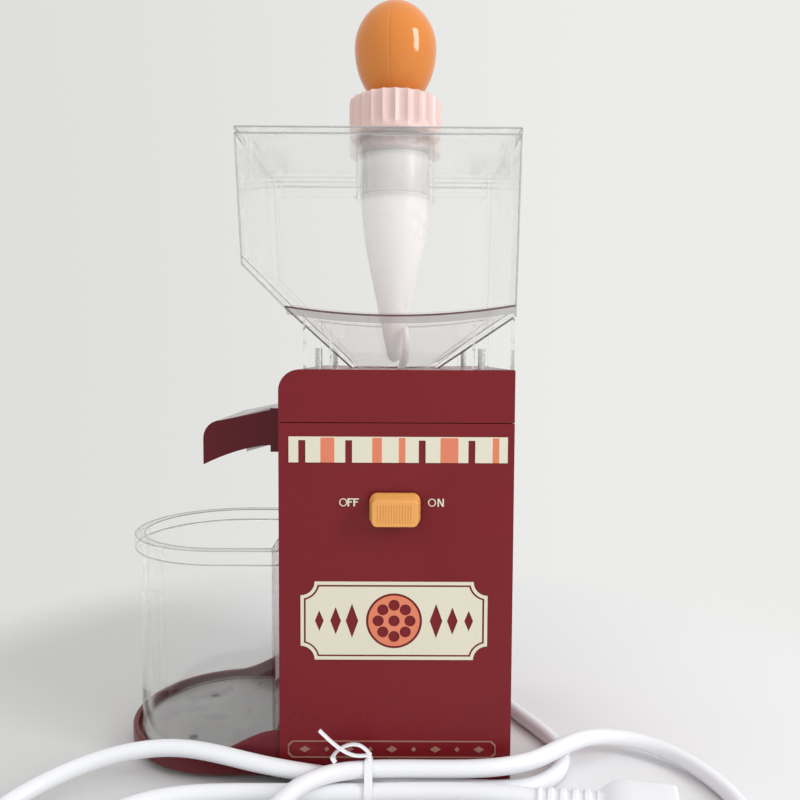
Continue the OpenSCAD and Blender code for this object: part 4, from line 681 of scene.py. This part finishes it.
def plug_block(half_height):
    """The plug's body: a rounded rectangle that swells from the relief, stays full and rounds off.

    Point = (outline times the share of the full section, distance along), in the plug's own axes.
    """
    along, share = np.array(PLUG_SWELL).T
    half = np.array([PLUG_WIDTH / 2, half_height])
    outline = rounded_rectangle(-half, half, PLUG_CORNER, 6)
    plan = outline[:, None, :] * share[None, :, None]
    along = np.broadcast_to(along[None, :, None] * MM + PLUG_RELIEF, (*plan.shape[:2], 1))
    return np.concatenate([plan, along], -1)


TIE_X = -11.0
TIE_STRANDS = ((-5.6, 5.2), (-9.9, 12.2), (-13.8, 4.8))  # middles of the tied strands, in mm
TIE_HALF = (1.7, 0.35)  # half the band's width and thickness
TIE_GAP = 0.6  # from a strand's skin to the middle of the band
TIE_END = 1.3 * MM
TIE_FLAT = 0.45  # thickness of an end as a share of its width


def twist_tie():
    """A flat plastic band round three strands, twisted above them, with a long free end and a bow.

    The band is a ribbon carried round the hull of three circles; the ends are flat swept ribbons.
    """
    reach = sizes().cord_diameter / 2 / MM + TIE_GAP
    centres = np.array(TIE_STRANDS)
    a = np.linspace(0, 2 * math.pi, 72, endpoint=False)
    way = np.stack([np.cos(a), np.sin(a)], 1)
    loop = centres[(way @ centres.T).argmax(1)] + reach * way
    across = np.array([[-1, -1], [1, -1], [1, 1], [-1, 1]]) * TIE_HALF
    band = np.empty((len(loop), 4, 3))
    band[..., 0] = MIDDLE_X + (TIE_X + across[None, :, 0]) * MM
    band[..., 1] = FRONT_Y + (loop[:, None, 0] + way[:, None, 0] * across[None, :, 1]) * MM
    band[..., 2] = (loop[:, None, 1] + way[:, None, 1] * across[None, :, 1]) * MM
    top = TIE_STRANDS[1]

    def above(x, y, z):
        """A point given in mm from the middle of the highest strand."""
        return spot(TIE_X + x, top[0] + y, top[1] + z)

    knot = np.array([above(0, 0, z) for z in np.linspace(3.8, 7.4, 7)])
    bulges = np.array([1.0, 1.5, 1.0, 1.5, 1.0, 1.4, 0.7]) * MM
    free_end = spline([above(0, 0, 6.2), above(-6, -0.6, 5.6), above(-13, 0, 9), above(-21, 1.6, 16)], 8)
    bow = spline([above(0, 0.6, 7), above(-4, 1.4, 10.6), above(-11, 1.6, 9.6), above(-16, 0.8, 5),
                  above(-14, -0.4, 3)], 8)
    parts = [grid_mesh("band", band, close_v=True),
             grid_mesh("knot", swept(knot, bulges, sides=10, up=(1, 0, 0)), capped=True)]
    for path in (free_end, bow):
        parts.append(grid_mesh("end", swept(path, TIE_END, sides=10, flat=TIE_FLAT), capped=True))
    return join_meshes("twist_tie", parts)


# ---- pusher

EGG_MIDDLE = 0.527  # share of the knob's height at which it is widest
EGG_POINT = 0.05  # how much slimmer than an ellipse its upper half is
EGG_NECK = 9 * MM
PARTING_ANGLE = math.radians(-99)
PARTING_DEPTH = 0.012  # share of the radius
PARTING_WIDTH = 0.018  # radians
RING_FLUTES = 24
RING_LIP = 1.1 * MM
RING_HEEL = 0.6 * MM
RING_GAP = 0.3 * MM  # between the ring and the tube
FLUTE_START, FLUTE_FADE = 2.2 * MM, 1.6 * MM
NOSE_LENGTH = 75 * MM
NOSE_TIP = 4 * MM
NOSE_ROUNDING = 6 * MM
TUBE_EDGE = 0.5 * MM


def egg_profile(radius, height, steps=56):
    """Radius and height of the egg-shaped knob, from its neck to its tip.

    Below its widest ring r = R sin a and z = H m (1 - cos a / cos n), where n is the neck's angle.
    Above it r = R sin a (1 - p cos^2 a) and z = H (m - (1 - m) cos a).
    """
    neck = math.asin(EGG_NECK / radius)
    a = np.linspace(neck, math.pi, steps)
    low = a < math.pi / 2
    r = radius * np.sin(a) * np.where(low, 1, 1 - EGG_POINT * np.cos(a) ** 2)
    z = height * np.where(low, EGG_MIDDLE * (1 - np.cos(a) / math.cos(neck)),
                          EGG_MIDDLE - (1 - EGG_MIDDLE) * np.cos(a))
    return np.concatenate([[[0, 0]], np.stack([np.maximum(r, 0), z], 1)])


def parting_line(a, z):
    """Factor on the radius: a fine groove along the half circle where the knob's two halves meet.

    Factor = 1 - depth exp(-(angle off the line / width)^2), the same at every height.
    """
    off = (a - PARTING_ANGLE + math.pi / 2) % math.pi - math.pi / 2
    return 1 - PARTING_DEPTH * np.exp(-(off / PARTING_WIDTH) ** 2)


def ring_flutes(radius, depth):
    """Factor on the radius: round hollows side by side that deepen over a short height, then stay.

    Factor = 1 - depth / R (1 - u^2) ramp(z), where u runs from -1 to 1 across each flute.
    """
    def factor(a, z):
        u = (a * RING_FLUTES / (2 * math.pi)) % 1 * 2 - 1
        share = np.clip((z - FLUTE_START) / FLUTE_FADE, 0, 1)
        return 1 - depth / radius * (1 - u ** 2) * share * share * (3 - 2 * share)
    return factor


def ring_profile(radius, height):
    """Radius and height of the ring's section: a rounded heel, a straight side and a rounded lip."""
    heel = arc(radius - RING_HEEL, RING_HEEL, RING_HEEL, 270, 360, 4)
    side = np.stack([np.full(9, radius), np.linspace(1.8 * MM, height - 1.6 * MM, 9)], 1)
    lip = arc(radius - RING_LIP, height - RING_LIP, RING_LIP, 0, 90, 5)
    return np.concatenate([[[0, 0], [radius - 2 * RING_HEEL, 0]], heel, side, lip,
                           [[radius - 4 * MM, height], [0, height]]])


def nose_profile(radius, top):
    """Radius and height of the pusher's tube: straight, then a slim curve down to a rounded tip.

    r = tip + (R - tip) (1 - t)^0.9 (1 + 0.223 sin(pi t) (1 - t)), with t the share of the nose's length.
    """
    t = np.linspace(0, 1, 40)
    r = NOSE_TIP + (radius - NOSE_TIP) * (1 - t) ** 0.9 * (1 + 0.223 * np.sin(math.pi * t) * (1 - t))
    z = NOSE_LENGTH - t * (NOSE_LENGTH - NOSE_ROUNDING)
    a = np.linspace(0, math.pi / 2, 10)[1:]
    end = np.stack([NOSE_TIP * np.cos(a), NOSE_ROUNDING * (1 - np.sin(a))], 1)
    edge = arc(radius - TUBE_EDGE, top - TUBE_EDGE, TUBE_EDGE, 90, 0, 4)
    return np.concatenate([[[0, top]], edge, np.stack([r, z], 1), np.maximum(end, 0)])


class GRINDER_OT_pusher(bpy.types.Operator):
    """Builds the pusher: its white tube, its fluted ring and its egg-shaped knob"""
    bl_idname = "grinder.pusher"
    bl_label = "Pusher"

    def execute(self, context):
        knob, ring, tube = (node_box("pusher_" + part) for part in ("knob", "ring", "tube"))
        knob_radius, ring_radius, tube_radius = ((high[0] - low[0]) / 2 for low, high in (knob, ring, tube))
        x, y, _ = (knob[0] + knob[1]) / 2
        seat, foot, tip = ring[1][2], tube[1][2] + RING_GAP, tube[0][2]

        egg = turned(egg_profile(knob_radius, knob[1][2] - seat), (x, y, seat), steps=540, flute=parting_line)
        add_piece(grid_mesh("egg_knob", egg), "pusher_head", "knob_orange", ["pusher_knob"], sharp=60)

        flutes = ring_flutes(ring_radius, sizes().flute_depth)
        collar = turned(ring_profile(ring_radius, seat - foot), (x, y, foot), RING_FLUTES * 12, flutes)
        add_piece(grid_mesh("fluted_ring", collar), "pusher_head", "ring_pink", ["pusher_ring"], sharp=40)

        nose = turned(nose_profile(tube_radius, tube[1][2] - tip), (x, y, tip))
        add_piece(grid_mesh("tapered_tube", nose), "pusher", "pusher_white", ["pusher_tube"], sharp=40)
        return {"FINISHED"}


# ---- jar and tray

JAR_CORNER = 1.6 * MM
JAR_FLAT = 0.75  # share of an offset that the jar's flat side takes
JAR_WALL = 2.4 * MM
JAR_FLOOR = 3.2 * MM
JAR_HEEL = 3 * MM
# Radius and places of the painted shade lines along the clear jar's edges.
JAR_BEAD = 0.32 * MM
BEAD_DEPTH = 0.3 * MM  # from an edge of the jar to the middle of its bead
HEEL_LINE = np.array([-1.2, 0.6]) * MM  # where the lowest bead runs, from the wall and the underside
LIP_RADIUS = 1 * MM
RIM_OUT = 2.4 * MM
RIM_HEIGHT = 6.5 * MM
TRAY_RIM = 8 * MM
TRAY_WALL = 2.6 * MM
TRAY_FLOOR = 3 * MM
TRAY_FOOT = 1.2 * MM
TRAY_CORNER = 0.4 * MM
TRAY_RAMP = 38 * MM


def half_round_outline(low, high, corner, run=14):
    """Anticlockwise plan outline between two box corners: a half round on the left, corners on the right."""
    r = (high[1] - low[1]) / 2
    x = np.linspace(low[0] + r, high[0] - corner, run + 1)[1:-1]
    lower = np.stack([x, np.full_like(x, low[1])], 1)
    upper = np.stack([x[::-1], np.full_like(x, high[1])], 1)
    return np.concatenate([
        arc(low[0] + r, low[1] + r, r, 90, 270, 96), lower,
        arc(high[0] - corner, low[1] + corner, corner, 270, 360, 8),
        arc(high[0] - corner, high[1] - corner, corner, 0, 90, 8), upper])


def half_round_skin(low, high, profile):
    """A profile of offset and height carried round the jar's half-round plan between two box corners.

    Each offset has a plan of its own: the box grown by the offset, but only by the flat share of it on
    the right, with corners whose radius grows by the offset too.
    """
    layers = []
    for offset, height in profile:
        grown = np.array([JAR_FLAT * offset, offset])
        plan = half_round_outline(low[:2] - offset, high[:2] + grown, max(JAR_CORNER + offset, 0.5 * MM))
        layers.append(np.column_stack([plan, np.full(len(plan), height)]))
    return np.stack(layers, 1)


def jar_profile(height):
    """Offset from the rim's outline and height, from the middle of the underside round to the inner floor.

    A rounded heel, a straight wall, a rim bead with round edges, and a round corner on the inner floor.
    """
    skin, inner, r = -RIM_OUT, -RIM_OUT - JAR_WALL, LIP_RADIUS
    bead = height - RIM_HEIGHT
    return np.concatenate([
        [[skin - 2 * JAR_HEEL, 0]], arc(skin - JAR_HEEL, JAR_HEEL, JAR_HEEL, 270, 360, 8),
        [[skin, bead - 0.6 * MM]], arc(-r, bead + r, r, 270, 360, 6), arc(-r, height - r, r, 0, 90, 6),
        arc(inner + r, height - r, r, 90, 180, 6),
        arc(inner - JAR_HEEL, JAR_FLOOR + JAR_HEEL, JAR_HEEL, 0, -90, 8), [[inner - 8 * MM, JAR_FLOOR]]])


def tray_profile():
    """Offset and height of the tray's section: undercut foot, outer wall, round rim and inner wall."""
    r, fillet = 0.9 * MM, 2 * MM
    return np.concatenate([
        [[-TRAY_FOOT - 5 * MM, 0], [-TRAY_FOOT, 0]], arc(-r, TRAY_FOOT + 0.3 * MM, r, -60, 0, 4),
        [[0, TRAY_RIM / 2]], arc(-r, TRAY_RIM - r, r, 0, 90, 5),
        arc(-TRAY_WALL + r, TRAY_RIM - r, r, 90, 180, 5), [[-TRAY_WALL, TRAY_FLOOR + 2.2 * MM]],
        arc(-TRAY_WALL - fillet, TRAY_FLOOR + fillet, fillet, 0, -90, 5),
        [[-TRAY_WALL - 3 * fillet, TRAY_FLOOR]]])


class GRINDER_OT_jar(bpy.types.Operator):
    """Builds the clear jar and the tray that it stands in"""
    bl_idname = "grinder.jar"
    bl_label = "Jar and tray"

    def execute(self, context):
        low, high = node_box("jar")
        profile = jar_profile(high[2] - low[2]) + np.array([0, low[2]])
        jar = grid_mesh("clear_jar", half_round_skin(low, high, profile), capped=True)
        add_piece(jar, "jar", "clear_plastic", ["jar"], finish="clear_jar", sharp=50)

        # Painted shade lines along the jar's top edges, under its rim and at its heel.
        top = high[2] - BEAD_DEPTH
        lines = [(-BEAD_DEPTH, top), (-RIM_OUT - JAR_WALL + BEAD_DEPTH, top),
                 (-BEAD_DEPTH, high[2] - RIM_HEIGHT), HEEL_LINE + [-RIM_OUT, low[2]]]
        edges = half_round_skin(low, high, lines)
        beads = [rod(np.concatenate([edges[:, k], edges[:1, k]]), JAR_BEAD) for k in range(len(lines))]
        painted_shade_beads("jar_edge_painted_shade", beads, "jar")

        low, high = node_box("jar_tray")
        rise = high[2] - low[2]

        def ramped(x, y, z):
            """Height over the floor grows to the housing by half a cosine wave over the ramp's length."""
            t = np.clip((x - (high[0] - TRAY_RAMP)) / TRAY_RAMP, 0, 1)
            full = TRAY_RIM + (rise - TRAY_RIM) * (1 - np.cos(math.pi * t)) / 2
            lifted = TRAY_FLOOR + (z - TRAY_FLOOR) * (full - TRAY_FLOOR) / (TRAY_RIM - TRAY_FLOOR)
            return low[2] + np.where(z > TRAY_FLOOR + 0.01 * MM, lifted, z)

        outline = half_round_outline(low[:2], high[:2], TRAY_CORNER, run=24)
        tray = grid_mesh("tray_shell", carried(outline, tray_profile(), ramped), capped=True)
        add_piece(tray, "base", "tray_red", ["jar_tray"], sharp=40)
        return {"FINISHED"}


# ---- casings

CASINGS = {"housing": 0.8, "rear_cover": 0.6, "top_cover": 0.9, "chute_hood": 0.9}  # edge radius in mm
FLAT_ANGLE = 0.6  # faces that meet at less than this, in degrees, are one


def softened(node, body, slot, width):
    """A moulded casing: the CAD node's own walls and openings with every crisp edge rounded to width.

    Coplanar triangles are joined first, so the rounding follows the real edges alone.
    """
    shell = bmesh.new()
    shell.from_mesh(frame["nodes"][node].data)
    bmesh.ops.remove_doubles(shell, verts=shell.verts, dist=MERGE_DISTANCE)
    bmesh.ops.dissolve_limit(shell, angle_limit=math.radians(FLAT_ANGLE), verts=shell.verts,
                             edges=shell.edges)
    mesh = bpy.data.meshes.new(node + "_moulding")
    shell.to_mesh(mesh)
    shell.free()
    piece = add_piece(mesh, body, slot, [node], outward=False)
    edge = piece.modifiers.new("edge_radius", "BEVEL")
    edge.width, edge.segments, edge.limit_method = width, 2, "ANGLE"
    edge.angle_limit, edge.harden_normals, edge.use_clamp_overlap = math.radians(CRISP_ANGLE), True, True
    edge.miter_outer = "MITER_ARC"


class GRINDER_OT_casings(bpy.types.Operator):
    """Rounds the edges of the moulded casings: housing, rear cover, top cover and chute hood"""
    bl_idname = "grinder.casings"
    bl_label = "Casings"

    def execute(self, context):
        slots = node_slots()
        bodies = frame["record"]["behaviour"]["bodies"]
        for node, width in CASINGS.items():
            body = next(name for name, nodes in bodies.items() if node in nodes)
            softened(node, body, slots[node], width * MM)
        return {"FINISHED"}


# ---- hopper

PANEL_SLOPE = {"left": 45.0, "right": 36.0, "front": 33.0}  # degrees
PANEL_BOW = 350 * MM
PANEL_FOOT = {"left": -19.7 * MM, "right": 20.3 * MM, "front": 17.9 * MM}
SIDE_LEAN = {"left": 2.6 * MM, "right": -1.56 * MM}
LID_THICK = 2.6 * MM
LID_INSET = 0.4 * MM
LID_CORNER = 0.6 * MM
# Places and radii of the painted shade lines along the hopper's and lid's edges and the panel's joints.
LID_SEAT = 0.3 * MM  # from the hopper's rim to the lid's lower bead
LID_BEAD = 0.4 * MM
FRONT_BEAD = 0.45 * MM
REAR_BEAD = 0.25 * MM
REAR_TOP_BEAD = 0.3 * MM
JOINT_TOP_BEAD = 0.42 * MM
JOINT_SIDE_BEAD = 0.4 * MM
WALL_LINE = 3.2 * MM  # how far over a panel's edge the second line runs
BAND_WIDTH = 5.5 * MM


class HopperShape:
    """One half of the hopper's outer edges, from its box, the mill's axis and the slopes of its panels.

    inwards is 1 for the front half and -1 for the rear half: the way along Y from its wall to the mill.
    """

    def __init__(self, inwards):
        self.low, self.high = node_box("hopper")
        self.axis = np.mean(node_box("pusher_tube"), axis=0)
        self.foot = node_box("top_cover")[1][2]
        self.inwards = inwards
        self.wall_y = self.low[1] if inwards > 0 else self.high[1]
        self.rim = {"left": self.low[0], "right": self.high[0]}

    def bowed(self, x):
        """Height at which the half's bowed panel meets its wall.

        Height = foot + reach tan s + (R - sqrt(R^2 - (x - axis)^2)) / cos s, with s the panel's slope.
        """
        slope = math.radians(PANEL_SLOPE["front"])
        reach = abs(self.axis[1] - self.wall_y) - PANEL_FOOT["front"]
        rise = PANEL_BOW - np.sqrt(PANEL_BOW ** 2 - (x - self.axis[0]) ** 2)
        return self.foot + reach * math.tan(slope) + rise / math.cos(slope)

    def knee(self, side):
        """Plan position where a side wall ends over its sloping panel, and the panel's foot."""
        return self.rim[side] + SIDE_LEAN[side], self.axis[0] + PANEL_FOOT[side]

    def sloped(self, side, x):
        """Height of a flat side panel at x."""
        return self.foot + np.abs(self.knee(side)[1] - x) * math.tan(math.radians(PANEL_SLOPE[side]))

    def side_edge(self, side):
        """Line down a side panel's edge: along the wall, then along the bowed panel.

        Where the panel lies under the bowed one it runs inwards by the drop over tan s.
        """
        start, foot = self.knee(side)
        x = np.linspace(start, foot, 60)
        z = self.sloped(side, x)
        drop = np.maximum(0, self.bowed(x) - z)
        y = self.wall_y + self.inwards * drop / math.tan(math.radians(PANEL_SLOPE["front"]))
        return np.stack([x, y, z], 1)

    def panel_top(self):
        """Line along the top edge of the bowed panel, between the two side panels."""
        x = np.linspace(self.knee("left")[0], self.knee("right")[0], 160)
        z = self.bowed(x)
        inside = (z > self.sloped("left", x)) | (x > self.axis[0])
        inside &= (z > self.sloped("right", x)) | (x < self.axis[0])
        return np.stack([x, np.full_like(x, self.wall_y), z], 1)[inside]

    def corner(self, side):
        """Line down a corner of the walls from the rim to the knee."""
        top, end = self.rim[side], self.knee(side)[0]
        share = np.linspace(0, 1, 6)
        return np.stack([top + share * (end - top), np.full(6, self.wall_y),
                         self.high[2] + share * (self.sloped(side, end) - self.high[2])], 1)


class GRINDER_OT_hopper(bpy.types.Operator):
    """Builds beads of painted shade along the clear hopper's and lid's edges, and the painted shade of the
    joint over the front panel
    """
    bl_idname = "grinder.hopper"
    bl_label = "Hopper edges"

    def execute(self, context):
        front, rear = HopperShape(1), HopperShape(-1)
        beads = [rod(rear.panel_top(), REAR_TOP_BEAD)]
        for half, radius in ((front, FRONT_BEAD), (rear, REAR_BEAD)):
            for side in ("left", "right"):
                edge = half.side_edge(side)
                beads += [rod(half.corner(side), radius), rod(edge, radius),
                          rod(edge + np.array([0, 0, WALL_LINE]), 0.6 * radius)]
        painted_shade_beads("hopper_edge_painted_shade", beads, "cover")

        line = front.panel_top()
        # painted shade, tinted by the red body behind, along the bowed panel's joints
        joints = [rod(line, JOINT_TOP_BEAD)]
        for side in ("left", "right"):
            edge = front.side_edge(side)
            joints.append(rod(edge[edge[:, 1] > front.wall_y + 0.2 * MM], JOINT_SIDE_BEAD))
        painted_shade_beads("panel_joint_painted_shade", joints, "cover", "clear_joint")

        slope = math.radians(PANEL_SLOPE["front"])
        down = np.array([0, math.cos(slope), -math.sin(slope)]) * BAND_WIDTH
        share = np.linspace(0, 1, 5)[None, :, None]
        band = line[:, None, :] + share * down - np.array([0, 0.05, 0.1]) * MM
        # a grey band of painted shade down from the bowed panel's top edge
        add_piece(grid_mesh("panel_painted_shade_band", band, close_u=False), "cover", "clear_plastic",
                  finish="clear_edge", outward=False)

        low, high = node_box("hopper_lid")
        plan = rounded_rectangle(low[:2] + LID_INSET, high[:2] - LID_INSET, LID_CORNER, 3)
        loop = np.concatenate([plan, plan[:1]])
        seat = front.high[2] + LID_SEAT
        rims = [rod(np.column_stack([loop, np.full(len(loop), z)]), LID_BEAD)
                for z in (seat, seat + LID_THICK)]
        painted_shade_beads("lid_edge_painted_shade", rims, "lid")
        return {"FINISHED"}


# ---- switch

KNOB_SIZE = np.array([21.4, 13.2]) * MM  # width and height
KNOB_OUT = 7.0 * MM
KNOB_DROP = 1.1 * MM
KNOB_CORNER = 3.2 * MM
KNOB_WALL = 2.0 * MM  # height of its upright side, up to the bevel
KNOB_BEVEL = 1.5 * MM  # how far in the bevel's top edge lies
RIB_PITCH = 1.15 * MM
RIB_RADIUS = 0.34 * MM
RIB_HALF_LENGTH = 3.7 * MM
RIBS_A_SIDE = 6
NECK_HALF = np.array([6, 3]) * MM


def knob_skin(centre, front):
    """The knob's skin: its outline carried outwards up a side wall, a bevel and a flat face.

    Every point also sinks by its share of the height times the drop, so the bevel is wide at the top
    and hardly there at the bottom.
    """
    half = KNOB_SIZE / 2
    outline = rounded_rectangle(-half, half, KNOB_CORNER)
    profile = np.concatenate([
        [[0, 0]], arc(-0.4 * MM, KNOB_WALL, 0.4 * MM, 0, 60, 4),
        arc(-KNOB_BEVEL, KNOB_OUT - 0.5 * MM, 0.5 * MM, 30, 90, 4), [[-2.4 * MM, KNOB_OUT]]])
    x, z, out = np.moveaxis(carried(outline, profile), -1, 0)
    return np.stack([centre[0] + x, front - out, centre[1] + z - KNOB_DROP * out / KNOB_OUT], -1)


def knob_rib(x, face_y, face_z):
    """One upright rib: a thin bead that fades at both ends and stands half out of the face."""
    end = RIB_HALF_LENGTH + 0.3 * MM
    z = face_z + np.array([-end, -RIB_HALF_LENGTH, RIB_HALF_LENGTH, end])
    path = np.stack([np.full(4, x), np.full(4, face_y + 0.05 * MM), z], 1)
    radius = np.array([0.05 * MM, RIB_RADIUS, RIB_RADIUS, 0.05 * MM])
    return grid_mesh("rib", swept(path, radius, sides=8, up=(0, 1, 0)), capped=True)


class GRINDER_OT_switch(bpy.types.Operator):
    """Builds the sliding switch knob with its bevel, its upright ribs and its neck"""
    bl_idname = "grinder.switch"
    bl_label = "Switch knob"

    def execute(self, context):
        low, high = node_box("switch_knob")
        middle = (low + high)[[0, 2]] / 2
        front = low[1] + KNOB_OUT
        parts = [grid_mesh("cap", knob_skin(middle, front), capped=True)]
        for i in range(-RIBS_A_SIDE, RIBS_A_SIDE + 1):
            parts.append(knob_rib(middle[0] + i * RIB_PITCH, low[1], middle[1] - KNOB_DROP))

        neck = rounded_rectangle(middle - NECK_HALF, middle + NECK_HALF, 0.4 * MM, 3)
        depth = np.array([front - 1 * MM, high[1]])
        walls = np.stack(np.broadcast_arrays(neck[:, None, 0], depth[None, :], neck[:, None, 1]), -1)
        parts.append(grid_mesh("neck", walls, capped=True))
        add_piece(join_meshes("ribbed_knob", parts), "switch", "switch_orange", ["switch_knob"], sharp=35)
        return {"FINISHED"}


# ---- panel

class GRINDER_PT_panel(bpy.types.Panel):
    """Lists the grinder's pieces in the sidebar"""
    bl_label = "Nut butter grinder"
    bl_idname = "GRINDER_PT_panel"
    bl_space_type = "VIEW_3D"
    bl_region_type = "UI"
    bl_category = "Grinder"

    def draw(self, context):
        for group in (colours(), sizes()):
            for key in group.__annotations__:
                self.layout.prop(group, key)
        for operator in OPERATORS:
            self.layout.operator(operator.bl_idname)


OPERATORS = (GRINDER_OT_stage, GRINDER_OT_cord, GRINDER_OT_pusher, GRINDER_OT_jar, GRINDER_OT_casings,
             GRINDER_OT_hopper, GRINDER_OT_switch)
CLASSES = (GrinderColours, GrinderSizes, *OPERATORS, GRINDER_PT_panel)


def register():
    for kind in CLASSES:
        bpy.utils.register_class(kind)
    bpy.types.Scene.grinder_colours = PointerProperty(type=GrinderColours)
    bpy.types.Scene.grinder_sizes = PointerProperty(type=GrinderSizes)


def unregister():
    del bpy.types.Scene.grinder_sizes
    del bpy.types.Scene.grinder_colours
    for kind in reversed(CLASSES):
        bpy.utils.unregister_class(kind)


def main():
    register()
    make_finishes(colours())
    dress_nodes()
    for operator in OPERATORS:
        group, name = operator.bl_idname.split(".")
        getattr(getattr(bpy.ops, group), name)()


if __name__ == "__main__":
    main()
